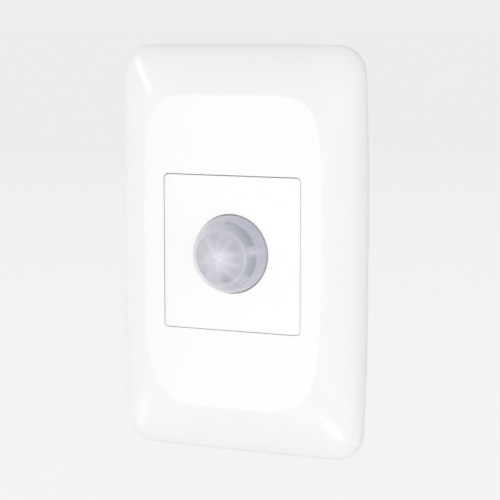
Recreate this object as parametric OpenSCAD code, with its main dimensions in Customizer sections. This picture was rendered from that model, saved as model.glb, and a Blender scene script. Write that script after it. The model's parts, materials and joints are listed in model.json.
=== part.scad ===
// Motion sensor light switch for a wall box.
// The wall is the plane y = 0, the front faces -Y, +Z is up, and the origin is the middle of the wall side.

/* [Cover plate] */
// Overall width of the cover plate
plate_w = 77.4; // [74:0.2:84]
// Overall height of the cover plate
plate_h = 120.2; // [116:0.2:128]
// Depth of the cover plate from the wall to its flat front
plate_depth = 9.5; // [9:0.1:12]
// Thickness of the moulded shell
plate_wall = 2; // [1.6:0.1:2.4]
// Radius of the plate's outer corners
plate_corner_r = 7.5; // [5:0.5:9]
// How far the long sides draw in towards their corners
side_bow = 1.4; // [0:0.1:2]
// How far the short sides draw in towards their corners
end_bow = 0.5; // [0:0.1:1]
// Width of the flat field on the front
field_w = 55.8; // [53:0.2:60]
// Height of the flat field on the front
field_h = 91.7; // [90:0.1:96]
// Squareness of the field's upper corners
field_power_top = 6; // [4:0.5:8]
// Squareness of the field's lower corners
field_power_bottom = 4.5; // [4:0.5:8]
// Straight rim that stands on the wall
rim_h = 1; // [0.6:0.1:1.5]
// Drop of the border's first stretch, next to the field
border_drop = 2; // [1:0.1:2.6]
// Share of the border's width that the first stretch takes
border_share = 0.45; // [0.3:0.05:0.6]
// Height over which the border rolls into the rim
roll_h = 2.9; // [1.5:0.1:3.5]
// Width of each snap prong
prong_w = 6; // [4:0.5:8]
// Thickness of each snap prong
prong_t = 2; // [1.6:0.1:2.6]
// Distance of the snap prongs from the middle, sideways
prong_x = 17; // [12:0.5:19]
// Distance of the snap prongs from the middle, up and down
prong_z = 32; // [29:0.5:33]
// Gap between the end of each prong and the wall
prong_end_gap = 0.5; // [0.3:0.1:1]
// Gap between each prong and its socket
prong_clearance = 0.15; // [0.1:0.01:0.2]

/* [Support frame] */
// Thickness of the frame's base
frame_t = 2; // [1.6:0.1:2.4]
// Gap between the frame's edge and the inside of the plate's rim
frame_edge_gap = 2.2; // [2:0.1:4]
// Radius of the frame's corners
frame_corner_r = 6; // [4:0.5:9]
// Width of the lip round the frame's edge
frame_lip_w = 1.6; // [1.2:0.1:2.4]
// Height of the lip round the frame's edge
frame_lip_h = 0.8; // [0.4:0.1:1]
// Thickness of the collar round the module's window
collar_wall = 2; // [1.6:0.1:2.6]
// Wall of the guide round each prong socket
socket_wall = 1.2; // [0.8:0.1:1.6]
// Height of the guide round each prong socket
socket_h = 1.6; // [1:0.1:2]
// Width of the cut-outs beside the window
relief_w = 4; // [3:0.5:5]
// Length of the cut-outs beside the window
relief_l = 34; // [20:1:40]
// Distance of the cut-outs from the middle
relief_x = 28.4; // [27.8:0.1:28.6]

/* [Fixing screws] */
// Distance between the two fixing screws
fixing_pitch = 83.3; // [82:0.1:84.5]
// Diameter of the fixing screws
fixing_d = 3.5; // [3:0.1:4]
// Length of each fixing screw under its head
fixing_l = 25; // [16:1:30]
// Diameter of the thinner neck under a fixing screw's head
fixing_neck_d = 2.9; // [2.6:0.1:2.9]
// Length of the thinner neck under a fixing screw's head
fixing_neck_l = 3; // [2.6:0.1:4]
// Diameter of a fixing screw's head
fixing_head_d = 6.6; // [6:0.1:7]
// Height of a fixing screw's head
fixing_head_h = 2.2; // [1.8:0.1:2.6]
// Width of the slot in a fixing screw's head
fixing_slot_w = 1; // [0.8:0.1:1.2]
// Depth of the slot in a fixing screw's head
fixing_slot_d = 1.1; // [0.8:0.1:1.3]
// Room for sideways adjustment in each slotted hole
fixing_travel = 5; // [3:0.5:6]
// Gap between a fixing screw and the sides of its slotted hole
fixing_clearance = 0.35; // [0.2:0.05:0.5]

/* [Sensor face] */
// Width of the module's front face
module_w = 42.7; // [42:0.1:44]
// Height of the module's front face
module_h = 45; // [44:0.1:47]
// Radius of the module's corners
module_corner_r = 1.2; // [0.8:0.1:2]
// Gap between the module and the plate's window
module_gap = 0.4; // [0.3:0.05:0.6]
// Thickness of the front face
face_wall = 1.8; // [1.5:0.1:2]
// Depth of the face with its skirt
face_depth = 3.9; // [3.6:0.1:4.3]
// Thickness of the face's skirt
skirt_t = 1.4; // [1:0.1:1.8]
// Width of the locating tongue along the top
tongue_w = 14; // [8:1:20]
// Thickness of the locating tongue
tongue_t = 1.2; // [1:0.1:1.5]
// Gap between the tongue and the housing's wall
tongue_clearance = 0.1; // [0.05:0.05:0.3]

/* [Lens] */
// Radius of the lens at its base
lens_r = 11.3; // [10.8:0.1:12]
// How far the lens stands out of the face
lens_h = 10; // [8:0.5:12]
// Thickness of the lens
lens_wall = 0.8; // [0.6:0.1:1]
// Gap between the lens and its hole in the face
lens_gap = 0.4; // [0.3:0.05:0.5]
// Width of the lens's flange beyond the hole
lens_flange_w = 1.4; // [1:0.1:1.8]
// Thickness of the lens's flange
lens_flange_t = 1; // [0.8:0.1:1.2]
// Thickness of the retaining ring behind the flange
retainer_t = 1.3; // [1:0.1:1.4]
// Wall of the round collar that holds the retaining ring
lens_collar_wall = 1.2; // [1:0.1:1.6]
// Gap between the collar and what it holds
lens_collar_clearance = 0.05; // [0.02:0.01:0.1]

/* [Housing] */
// Width of the ledge by which the housing rests on the frame
ledge = 1; // [0.8:0.1:1.2]
// Thickness of the housing's flange
flange_t = 1.6; // [1.2:0.1:2]
// Gap between the housing and the frame's window
housing_clearance = 0.2; // [0.1:0.05:0.3]
// Thickness of the housing's side walls
housing_wall = 1.5; // [1.2:0.1:1.7]
// Thickness of the housing's rear wall
rear_wall = 1.6; // [1.2:0.1:2]
// Radius of the housing's corners
housing_corner_r = 2; // [1:0.1:3]
// Radius of the housing's inside corners
inside_corner_r = 0.5; // [0.2:0.1:1]
// Length of each snap nub on the housing's sides
nub_l = 10; // [6:1:14]
// How far each snap nub stands out
nub_h = 0.8; // [0.5:0.1:1]
// Depth of each snap nub
nub_t = 0.8; // [0.6:0.1:1]
// Gap round each snap nub
nub_clearance = 0.3; // [0.2:0.05:0.4]
// Width of the ribs that the main board rests on
rib_w = 1.2; // [1:0.1:1.5]
// Height of the upper and lower ribs from the middle
rib_z = 5; // [4:0.5:7]
// Length of each vent slot
vent_l = 9; // [6:0.5:12]
// Width of each vent slot
vent_w = 1.1; // [0.8:0.1:1.4]
// Distance between the vent slots
vent_pitch = 2.4; // [2:0.1:2.8]
// Number of vent slots
vent_count = 5; // [3:1:5]
// Height of the middle vent slot
vent_z = -1.5; // [-3:0.5:0]

/* [Closing screws] */
// Diameter of the closing screws
closing_d = 2.4; // [2:0.1:2.6]
// Length of each closing screw under its head
closing_l = 12; // [11:0.5:12.5]
// Diameter of a closing screw's head
closing_head_d = 4.2; // [3.8:0.1:4.4]
// Height of a closing screw's head
closing_head_h = 1.6; // [1.2:0.1:2]
// Width of the slot in a closing screw's head
closing_slot_w = 0.7; // [0.5:0.1:0.9]
// Depth of the slot in a closing screw's head
closing_slot_d = 0.8; // [0.5:0.1:1]
// Gap between a closing screw's head and its well
well_clearance = 0.25; // [0.2:0.05:0.4]
// Wall of the column round each well
column_wall = 0.9; // [0.8:0.1:1.2]
// Gap between a closing screw and the housing's hole
closing_clearance = 0.1; // [0.05:0.05:0.2]
// Thickness of the floor in each well
well_floor = 8; // [7.5:0.1:8.5]

/* [Circuit boards] */
// Depth of the sensor board behind the face's front
board_setback = 5.9; // [5.8:0.1:6.4]
// Thickness of both boards
board_t = 1.6; // [1.2:0.1:2]
// Space between the two boards
board_gap = 8; // [7.5:0.1:9]
// Gap between the boards' edges and the housing
board_clearance = 0.3; // [0.2:0.05:0.4]
// Space for the parts behind the main board
component_depth = 14.8; // [14.4:0.1:17]
// Diameter of the spacers between the boards
spacer_d = 4; // [3:0.1:5]
// Distance of the spacers from the board's two nearest edges
spacer_inset = 4.5; // [4:0.1:5.5]
// Number of contacts in the board connector
contact_count = 6; // [4:1:6]
// Distance between the connector's contacts
contact_pitch = 2.54; // [2:0.01:2.54]
// Width of the board connector
connector_w = 2.5; // [2:0.1:3]
// Distance of the board connector from the board's lower edge
connector_inset = 7.5; // [6:0.5:9]
// Length of each control chip
chip_l = 8.7; // [6:0.1:9]
// Width of each control chip
chip_w = 3.9; // [3:0.1:4.5]
// Thickness of each control chip
chip_t = 1.5; // [1:0.1:1.7]
// Height of the detector chip's place
detector_chip_z = 4; // [2:0.5:6]
// Height of the driver chip's place
driver_chip_z = -3; // [-5:0.5:-1]

/* [Detector] */
// Diameter of the detector's header
pir_base_d = 9.2; // [9:0.1:9.6]
// Thickness of the detector's header
pir_base_t = 0.7; // [0.5:0.1:1]
// Diameter of the detector's can
pir_can_d = 8.3; // [8:0.1:8.6]
// Height of the detector's can
pir_can_h = 3.5; // [3.2:0.1:3.8]
// Thickness of the can
pir_can_wall = 0.35; // [0.3:0.05:0.4]
// Width of the detector's window
pir_window_w = 4; // [3.4:0.1:4.2]
// Height of the detector's window
pir_window_h = 3; // [2.4:0.1:3.4]
// Margin by which the filter overlaps the window
filter_margin = 0.4; // [0.3:0.1:0.5]
// Thickness of the filter
filter_t = 0.4; // [0.3:0.1:0.5]
// Width of the sensing element
element_w = 4; // [3:0.1:4.4]
// Height of the sensing element
element_h = 3; // [2:0.1:3.4]
// Thickness of the sensing element
element_t = 1.2; // [0.8:0.1:1.4]
// Distance of the light sensor and the lamp from the middle
eye_x = 7.2; // [7:0.1:7.3]
// Diameter of the light sensor
light_sensor_d = 4.2; // [3.5:0.1:4.4]
// Thickness of the light sensor
light_sensor_t = 2; // [1.5:0.1:2.5]
// Diameter of the status lamp
led_d = 3; // [2:0.1:3.4]
// Height of the status lamp
led_h = 4.4; // [3.4:0.1:4.6]
// Diameter of the status lamp's foot
led_foot_d = 3.8; // [3.5:0.1:4]
// Thickness of the status lamp's foot
led_foot_t = 1; // [0.6:0.1:1.2]

/* [Relay] */
// Length of the relay
relay_l = 17.5; // [17.2:0.1:18.5]
// Width of the relay
relay_w = 6.5; // [6.4:0.1:7.2]
// Height of the relay
relay_h = 12.4; // [12.2:0.1:13]
// Thickness of the relay's base
relay_base_t = 2; // [1.8:0.1:2.2]
// Wall of the relay's cover
relay_cover_t = 0.7; // [0.5:0.1:0.7]
// Thickness of the relay's iron yoke and armature
relay_iron_t = 0.8; // [0.6:0.1:0.8]
// Width of the relay's iron yoke and armature
relay_iron_w = 4.4; // [3.4:0.2:4.8]
// Diameter of the coil's winding
coil_d = 4; // [3.4:0.1:4.2]
// Length of the coil with its flanges
coil_l = 10; // [9:0.1:10.2]
// Diameter of the coil's flanges
coil_flange_d = 4.8; // [4.4:0.1:4.9]
// Thickness of the coil's flanges
coil_flange_t = 0.8; // [0.6:0.1:1]
// Diameter of the coil's pole
pole_d = 3; // [2.4:0.1:3.4]
// Thickness of the coil's pole
pole_t = 0.8; // [0.6:0.1:0.8]
// Gap between the coil's pole and the armature
pole_gap = 0.5; // [0.5:0.05:0.7]
// Gap between the armature and the yoke's edge
yoke_gap = 0.3; // [0.2:0.05:0.3]
// Gap between the coil's flanges and the yoke
coil_gap = 0.2; // [0.1:0.05:0.3]
// Gap between the relay's contacts
contact_gap = 0.7; // [0.66:0.01:0.8]
// Thickness of the contact spring
spring_t = 0.3; // [0.2:0.05:0.3]
// Width of the contact spring
spring_w = 3; // [2:0.1:4]
// Diameter of the contact rivets
rivet_d = 1.2; // [1:0.1:1.4]
// Height of the contact rivets
rivet_h = 0.8; // [0.6:0.1:0.8]
// Thickness of the fixed contact's post
post_t = 0.8; // [0.6:0.1:0.9]

/* [Supply parts] */
// Gap between neighbouring parts behind the main board
part_gap = 0.5; // [0.4:0.05:0.7]
// Length of the film capacitor
film_l = 12; // [10:0.1:13]
// Thickness of the film capacitor
film_w = 5.5; // [4:0.1:6.4]
// Height of the film capacitor
film_h = 11; // [9:0.1:13]
// Diameter of the storage capacitor
storage_d = 6.3; // [5:0.1:8]
// Height of the storage capacitor
storage_h = 11.5; // [9:0.1:13]
// Radius of the storage capacitor's rounded end
storage_edge_r = 0.6; // [0.3:0.1:0.8]
// Diameter of the varistor
varistor_d = 8.5; // [7:0.1:10.5]
// Thickness of the varistor
varistor_t = 4; // [3:0.1:4.4]
// Height of the varistor's legs
varistor_leg_h = 0.8; // [0.5:0.1:1.2]
// Diameter of the varistor's legs
varistor_leg_d = 0.8; // [0.6:0.1:1]
// Distance between the varistor's legs
varistor_pitch = 5; // [4:0.1:5.2]
// Diameter of the fuse
fuse_d = 6; // [5:0.1:7.4]
// Height of the fuse
fuse_h = 8; // [6:0.1:10]
// Length of each diode
diode_l = 3.6; // [3.2:0.1:4.2]
// Width of each diode
diode_w = 2.3; // [2:0.1:2.4]
// Thickness of each diode
diode_t = 2.2; // [1.5:0.1:2.5]
// Distance between the diodes, both ways
diode_gap = 0.6; // [0.4:0.1:0.8]

/* [Terminals] */
// Distance between neighbouring terminals
terminal_pitch = 7.5; // [7.3:0.1:8]
// Gap between neighbouring blocks
block_gap = 0.2; // [0.1:0.05:0.4]
// Height of the blocks, from their top downwards
block_h = 11.8; // [11.6:0.1:12]
// Gap between the blocks and the housing's bay
bay_clearance = 0.15; // [0.1:0.05:0.3]
// Ledge between the housing's side and the bay
bay_margin = 0.6; // [0.4:0.1:1]
// Radius of the wire hole in each block
wire_r = 1.5; // [1.3:0.1:1.6]
// Length of the wire hole in each block
wire_hole_l = 3.6; // [3:0.1:3.8]
// Width of the clamp cage
cage_w = 5.4; // [5.2:0.1:5.8]
// Height of the clamp cage
cage_h = 5; // [4.4:0.1:5]
// Thickness of the cage's threaded end
cage_nut_t = 1.6; // [1.4:0.1:1.8]
// Thickness of the cage's clamping end
cage_jaw_t = 1.2; // [1:0.1:1.4]
// Thickness of the cage's sides
cage_side_t = 0.9; // [0.7:0.1:1]
// Travel of the clamp cage
cage_travel = 2; // [1.8:0.1:2]
// Gap round the clamp cage
cage_clearance = 0.1; // [0.05:0.05:0.2]
// Thickness of the terminal bar
bar_t = 0.8; // [0.6:0.1:0.9]
// Width of the terminal bar
bar_w = 3; // [2.4:0.1:3.2]
// Gap between the terminal bar and the cage
bar_gap = 0.2; // [0.15:0.05:0.3]
// Diameter of the terminal screws
clamp_d = 3; // [2.6:0.1:3]
// Running gap round the terminal screw's thread
clamp_clearance = 0.06; // [0.04:0.01:0.1]
// Diameter of a terminal screw's head
clamp_head_d = 4.8; // [4.4:0.1:5]
// Height of a terminal screw's head
clamp_head_h = 1.8; // [1.4:0.1:2.2]
// Gap round a terminal screw's head
clamp_head_clearance = 0.3; // [0.3:0.05:0.4]
// Thickness of the ledge under a terminal screw's head
clamp_ledge = 1; // [0.8:0.1:1.2]
// Width of the slot in a terminal screw's head
clamp_slot_w = 0.8; // [0.6:0.1:1]
// Depth of the slot in a terminal screw's head
clamp_slot_d = 0.9; // [0.6:0.1:1.1]
// Depth of the ledge behind the main board
clamp_depth = 10.8; // [10.8:0.1:11.4]

/* [Settings] */
// Sideways place of the two setting knobs
knob_x = 6.5; // [6:0.1:7.5]
// Gap between the trimmers and the housing's lower wall
knob_margin = 2; // [1.6:0.1:2.4]
// Diameter of the setting knobs
knob_d = 5.4; // [4.5:0.1:5.6]
// Gap between a knob and its hole
knob_clearance = 0.3; // [0.3:0.05:0.4]
// Depth of a knob's end below the rear face
knob_recess = 0.4; // [0.2:0.1:0.8]
// Width of the slot in a knob
knob_slot_w = 0.9; // [0.6:0.1:1.2]
// Depth of the slot in a knob
knob_slot_d = 1.2; // [0.8:0.1:1.6]
// Side of each trimmer's body
trimmer_w = 6.5; // [6:0.1:6.6]
// Height of each trimmer's body
trimmer_h = 4.5; // [3.5:0.1:6]
// Length of each scale mark
tick_l = 1; // [0.6:0.1:1.2]
// Width of each scale mark
tick_w = 0.4; // [0.3:0.1:0.6]
// Depth of each scale mark
tick_depth = 0.3; // [0.2:0.1:0.5]
// Gap between a knob's hole and its scale marks
tick_gap = 0.5; // [0.3:0.1:0.7]
// Number of scale marks round each knob
tick_count = 7; // [5:1:9]
// Turn of a knob from the middle to either end
knob_turn = 120; // [90:5:140]
// Length of the mode switch's body
switch_l = 8.6; // [8.4:0.1:9]
// Width of the mode switch's body
switch_w = 4.6; // [4.2:0.1:5]
// Height of the mode switch's body
switch_h = 9; // [7:0.1:11]
// Wall of the mode switch's body
switch_wall = 0.7; // [0.6:0.1:0.8]
// Gap between the mode switch and the housing's side wall
switch_margin = 0.4; // [0.3:0.1:0.8]
// Gap between the mode switch and the housing's upper wall
switch_drop = 3; // [2:0.1:4]
// Travel of the slider from the middle to either end
slider_travel = 2; // [1.5:0.1:2]
// Length of the slider's handle
slider_l = 2.6; // [2:0.1:2.8]
// Width of the slider's handle
slider_w = 2.4; // [2:0.1:2.4]
// Thickness of the slider's foot
slider_foot_t = 1.6; // [1:0.1:2]
// How far the slider stands out of the rear face
slider_proud = 0.6; // [0.2:0.1:1]
// Gap round the slider
slider_clearance = 0.2; // [0.15:0.05:0.3]

/* [Hidden] */
$fn = 64;

// A small overrun so that a cut passes cleanly through a face
cut = 1;
// How deep one stretch of a piece runs into the next, so that the two join
root = 0.4;

// Depths, counted from the wall, of the faces that carry the stack
front_y = -plate_depth;
face_back_y = front_y + face_wall;
skirt_back_y = front_y + face_depth;
flange_back_y = skirt_back_y + flange_t;
flange_y = face_back_y + lens_flange_t;
retainer_y = flange_y + retainer_t;
sensor_board_y = front_y + board_setback;
sensor_back_y = sensor_board_y + board_t;
main_board_y = sensor_back_y + board_gap;
main_back_y = main_board_y + board_t;
rear_inside_y = main_back_y + component_depth;
rear_y = rear_inside_y + rear_wall;

// Openings and bodies that fit one another
window_w = module_w + 2 * module_gap;
window_h = module_h + 2 * module_gap;
seat_w = module_w - 2 * ledge;
seat_h = module_h - 2 * ledge;
housing_w = seat_w - 2 * housing_clearance;
housing_h = seat_h - 2 * housing_clearance;
inside_w = housing_w - 2 * housing_wall;
inside_h = housing_h - 2 * housing_wall;
board_w = inside_w - 2 * board_clearance;
board_h = inside_h - 2 * board_clearance;
frame_w = plate_w - 2 * (plate_wall + frame_edge_gap);
frame_h = plate_h - 2 * (plate_wall + frame_edge_gap);
collar_w = seat_w + 2 * collar_wall;
collar_h = seat_h + 2 * collar_wall;
lens_hole_r = lens_r + lens_gap;
lens_flange_r = lens_hole_r + lens_flange_w;
lens_collar_r = lens_flange_r + lens_collar_clearance;

// Depth of the snap nubs, inside the frame's base
nub_y = -frame_t + nub_clearance;

// Columns round the closing screws, in the two lower corners
well_r = closing_head_d / 2 + well_clearance;
column_r = well_r + column_wall;
column_x = inside_w / 2 - column_r + column_wall / 2;
column_z = -(inside_h / 2 - column_r + column_wall / 2);
column_top_y = sensor_back_y;
well_bottom_y = column_top_y + well_floor;
notch_w = board_w / 2 - column_x + column_r + board_clearance;
notch_h = board_h / 2 + column_z + column_r + board_clearance;

// Terminals: three in one bay, from the housing's left side
terminal_count = 3;
block_w = terminal_pitch - block_gap;
block_top_z = housing_h / 2;
block_bottom_z = block_top_z - block_h;
bay_w = terminal_count * terminal_pitch - block_gap + 2 * bay_clearance;
bay_left_x = -inside_w / 2 + bay_margin;
function terminal_x(n) = bay_left_x + bay_clearance + block_w / 2 + (n - 1) * terminal_pitch;
ledge_y = main_back_y + clamp_depth;
cage_room_y = ledge_y - clamp_ledge;
cage_open_z = block_top_z - wire_hole_l;
cage_z = cage_open_z - cage_clearance - cage_h / 2;
wire_space = 2 * wire_r;
cage_l = cage_nut_t + bar_gap + bar_t + wire_space + cage_jaw_t;
cage_y = cage_room_y - cage_clearance - cage_travel - cage_l;
jaw_y = cage_y + cage_jaw_t;
bar_y = jaw_y + wire_space;
bar_back_y = bar_y + bar_t;
nut_y = bar_back_y + bar_gap;
wire_y = jaw_y + wire_r;
clamp_r = clamp_d / 2;

// Rows behind the main board: the relay and the film capacitor, the supply parts, then the trimmers
side_room_x = inside_w / 2 - rib_w - part_gap;
row_top_z = block_bottom_z - bay_clearance - part_gap;
row_bottom_z = row_top_z - max(relay_w, film_w);
relay_x = -side_room_x + relay_l / 2;
relay_z = row_top_z - relay_w / 2;
film_x = side_room_x - film_l / 2;
film_z = row_top_z - film_w / 2;
knob_z = -inside_h / 2 + knob_margin + trimmer_w / 2;
supply_z = (row_bottom_z + knob_z + trimmer_w / 2) / 2;
diodes_w = 2 * diode_w + diode_gap;
supply_gap = (2 * side_room_x - varistor_d - diodes_w - fuse_d - storage_d) / 3;
varistor_x = -side_room_x + varistor_d / 2;
diode_x = varistor_x + varistor_d / 2 + supply_gap + diodes_w / 2;
fuse_x = diode_x + diodes_w / 2 + supply_gap + fuse_d / 2;
storage_x = side_room_x - storage_d / 2;

// Relay, measured from its own middle
relay_floor_y = main_back_y + relay_base_t;
relay_top_y = main_back_y + relay_h;
relay_inside_top_y = relay_top_y - relay_cover_t;
yoke_back_x = -relay_l / 2 + relay_cover_t + yoke_gap;
yoke_inside_x = yoke_back_x + relay_iron_t;
yoke_top_y = relay_inside_top_y - coil_gap;
coil_y = yoke_top_y - relay_iron_t - coil_gap - coil_flange_d / 2;
coil_end_x = yoke_inside_x + coil_l;
pole_x = coil_end_x + pole_t;
armature_x = pole_x + pole_gap;
armature_hinge_y = yoke_top_y - relay_iron_t / 2;
spring_x = armature_x + relay_iron_t;
contact_y = relay_floor_y + rivet_d / 2 + coil_gap;
rivet_tip_x = spring_x - rivet_h;
post_x = rivet_tip_x - contact_gap - rivet_h;

// Settings on the rear face
knob_hole_r = knob_d / 2 + knob_clearance;
slider_slot_l = slider_l + 2 * (slider_travel + slider_clearance);
slider_slot_w = slider_w + 2 * slider_clearance;
switch_x = inside_w / 2 - switch_margin - switch_l / 2;
switch_z = inside_h / 2 - switch_drop - switch_w / 2;
switch_top_y = main_back_y + switch_h;
slider_foot_w = switch_w - 2 * (switch_wall + slider_clearance);
slider_foot_l = switch_l - 2 * (switch_wall + slider_clearance + slider_travel);
slider_foot_y = switch_top_y - slider_foot_t - slider_clearance;

// Cover plate's surface: rings between the flat field's outline and the rim's outline
corner_steps = 8;
side_steps = 7;
outer_steps = 12;
inner_steps = 6;
bow_power = 3;

// One quarter of a rounded rectangle, from its right side round the corner to its top
function quarter(a, b, r) = concat(
    [for (k = [0 : side_steps - 1]) [a, (b - r) * sin(90 * k / side_steps)]],
    [for (k = [0 : corner_steps - 1])
        [a - r + r * cos(90 * k / corner_steps), b - r + r * sin(90 * k / corner_steps)]],
    [for (k = [side_steps : -1 : 1]) [(a - r) * sin(90 * k / side_steps), b]]
);

// The whole rounded rectangle, turned from its first quarter
function whole(a, b, r) = let (up = quarter(a, b, r), side = quarter(b, a, r)) concat(
    up,
    [for (p = side) [-p[1], p[0]]],
    [for (p = up) [-p[0], -p[1]]],
    [for (p = side) [p[1], -p[0]]]
);

function bowed(p, a, b) = [
    p[0] - sign(p[0]) * side_bow * pow(abs(p[1]) / b, bow_power),
    p[1] - sign(p[1]) * end_bow * pow(abs(p[0]) / a, bow_power)
];

function rim_outline(inset) = let (a = plate_w / 2 - inset, b = plate_h / 2 - inset)
    [for (p = whole(a, b, plate_corner_r - inset)) bowed(p, a, b)];

// The point of the flat field's outline in the direction of a rim point
function field_point(p, inset) = let (
    a = field_w / 2 - inset / 2,
    b = field_h / 2 - inset / 2,
    turn = atan2(p[1] / plate_h, p[0] / plate_w),
    power = p[1] > 0 ? field_power_top : field_power_bottom,
    reach = pow(pow(abs(cos(turn)), power) + pow(abs(sin(turn)), power), -1 / power)
) [a * reach * cos(turn), b * reach * sin(turn)];

// Share of the border's width and depth along its section, from the field to the rim
function bezier(k, p0, p1, p2, p3) =
    pow(1 - k, 3) * p0 + 3 * k * pow(1 - k, 2) * p1 + 3 * k * k * (1 - k) * p2 + pow(k, 3) * p3;

function border_share_at(k) = bezier(k, 0, border_share, 1, 1);

function border_depth_at(k, top) = bezier(k, -top, -top + border_drop, -rim_h - roll_h, -rim_h);

function border_ring(rim, inset, k, top) = let (share = border_share_at(k), y = border_depth_at(k, top))
    [for (p = rim) let (q = field_point(p, inset), m = q + share * (p - q)) [m[0], y, m[1]]];

function flat_ring(rim) = [for (p = rim) [p[0], 0, p[1]]];

module plate_shell() {
    outer = rim_outline(0);
    inner = rim_outline(plate_wall);
    rings = concat(
        [for (k = [0 : outer_steps]) border_ring(outer, 0, k / outer_steps, plate_depth)],
        [flat_ring(outer), flat_ring(inner)],
        [for (k = [inner_steps : -1 : 0])
            border_ring(inner, plate_wall, k / inner_steps, plate_depth - plate_wall)]
    );
    n = len(outer);
    last = len(rings) - 1;
    polyhedron(
        points = [for (ring = rings) each ring],
        faces = concat(
            [[for (i = [n - 1 : -1 : 0]) i]],
            [for (j = [0 : last - 1], i = [0 : n - 1]) [j * n + i, j * n + (i + 1) % n, (j + 1) * n + i]],
            [for (j = [0 : last - 1], i = [0 : n - 1])
                [j * n + (i + 1) % n, (j + 1) * n + (i + 1) % n, (j + 1) * n + i]],
            [[for (i = [0 : n - 1]) last * n + i]]
        )
    );
}

// Shapes that repeat
module rounded_rect(w, h, r) {
    square([w - 2 * r, h], center = true);
    square([w, h - 2 * r], center = true);
    for (x = [-1, 1], z = [-1, 1]) translate([x * (w / 2 - r), z * (h / 2 - r)]) circle(r);
}

// A rounded slab that faces the front, between two depths
module slab(w, h, r, y0, y1) {
    translate([0, y1, 0]) rotate([90, 0, 0]) linear_extrude(y1 - y0) rounded_rect(w, h, r);
}

// A slot with round ends that lies across the width, between two depths
module slot(l, w, y0, y1) {
    bar(l - w, w, y0, y1);
    for (x = [-1, 1]) at(x * (l - w) / 2, 0) rod(w / 2, y0, y1);
}

// A rectangular bar along the depth, centred on the other two axes
module bar(w, h, y0, y1) {
    translate([-w / 2, y0, -h / 2]) cube([w, y1 - y0, h]);
}

// A round rod along the depth
module rod(r, y0, y1) {
    translate([0, y1, 0]) rotate([90, 0, 0]) cylinder(r = r, h = y1 - y0);
}

// A round rod along the width
module cross_rod(r, x0, x1) {
    translate([x0, 0, 0]) rotate([0, 90, 0]) cylinder(r = r, h = x1 - x0);
}

module ring(outer_r, inner_r, y0, y1) {
    difference() {
        rod(outer_r, y0, y1);
        rod(inner_r, y0 - cut, y1 + cut);
    }
}

module at(x, z) {
    translate([x, 0, z]) children();
}

module at_prongs() {
    for (x = [-1, 1], z = [-1, 1]) at(x * prong_x, z * prong_z) children();
}

module at_fixings() {
    for (z = [-1, 1]) at(0, z * fixing_pitch / 2) children();
}

module at_columns() {
    for (x = [-1, 1]) at(x * column_x, column_z) children();
}

// A slotted screw whose head's top lies at a depth, pointing away from the head
module slotted_screw(r, length, head_r, head_h, slot_w, slot_d) {
    difference() {
        union() {
            rod(head_r, -head_h, 0);
            rod(r, -root, length);
        }
        bar(slot_w, 2 * head_r + cut, -head_h - cut, -head_h + slot_d);
    }
}

// Sub-parts
module cover_plate() {
    prong_root_y = front_y + plate_wall - root;
    color("white") union() {
        difference() {
            plate_shell();
            slab(window_w, window_h, module_corner_r + module_gap, front_y - cut, 0);
        }
        at_prongs() bar(prong_w, prong_t, prong_root_y, -prong_end_gap);
    }
}

module support_frame() {
    socket_w = prong_w + 2 * prong_clearance;
    socket_t = prong_t + 2 * prong_clearance;
    slot_w = fixing_d + 2 * fixing_clearance;
    nub_room_l = nub_l + 2 * nub_clearance;
    color("lightgray") difference() {
        union() {
            slab(frame_w, frame_h, frame_corner_r, -frame_t, 0);
            difference() {
                slab(frame_w, frame_h, frame_corner_r, -frame_t - frame_lip_h, -frame_t);
                slab(frame_w - 2 * frame_lip_w, frame_h - 2 * frame_lip_w, frame_corner_r - frame_lip_w,
                    -frame_t - frame_lip_h - cut, -frame_t);
            }
            slab(collar_w, collar_h, housing_corner_r + collar_wall, flange_back_y, 0);
            at_prongs() bar(socket_w + 2 * socket_wall, socket_t + 2 * socket_wall, -frame_t - socket_h, 0);
        }
        slab(seat_w, seat_h, housing_corner_r + housing_clearance, flange_back_y - cut, cut);
        at_prongs() bar(socket_w, socket_t, -frame_t - socket_h - cut, cut);
        at_fixings() slot(fixing_travel + slot_w, slot_w, -frame_t - cut, cut);
        for (x = [-1, 1]) at(x * relief_x, 0) rotate([0, 90, 0])
            slot(relief_l, relief_w, -frame_t - cut, cut);
        for (x = [-1, 1]) at(x * seat_w / 2, 0)
            bar(2 * (nub_h + nub_clearance), nub_room_l,
                nub_y - nub_clearance, nub_y + nub_t + nub_clearance);
    }
}

module fixing_screws() {
    color("silver") at_fixings() translate([0, -frame_t, 0]) union() {
        slotted_screw(fixing_neck_d / 2, fixing_neck_l + root, fixing_head_d / 2, fixing_head_h,
            fixing_slot_w, fixing_slot_d);
        rod(fixing_d / 2, fixing_neck_l, fixing_l);
    }
}

module sensor_face() {
    tongue_z = inside_h / 2 - tongue_clearance - tongue_t / 2;
    boss_r = column_r - column_wall;
    color("white") difference() {
        union() {
            slab(module_w, module_h, module_corner_r, front_y, face_back_y);
            difference() {
                slab(module_w, module_h, module_corner_r, face_back_y, skirt_back_y);
                slab(module_w - 2 * skirt_t, module_h - 2 * skirt_t, module_corner_r,
                    face_back_y, skirt_back_y + cut);
            }
            ring(lens_collar_r + lens_collar_wall, lens_collar_r, face_back_y - root, retainer_y);
            at(0, tongue_z) bar(tongue_w, tongue_t, face_back_y - root, flange_back_y);
            at_columns() rod(boss_r, face_back_y - root, column_top_y);
        }
        rod(lens_hole_r, front_y - cut, face_back_y + cut);
        at_columns() rod(closing_d / 2, face_back_y, column_top_y + cut);
    }
}

module lens_outline(r, h) {
    steps = 20;
    polygon(concat(
        [[0, 0]],
        [for (k = [0 : steps]) [r * cos(90 * k / steps), h * sin(90 * k / steps)]]
    ));
}

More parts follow.
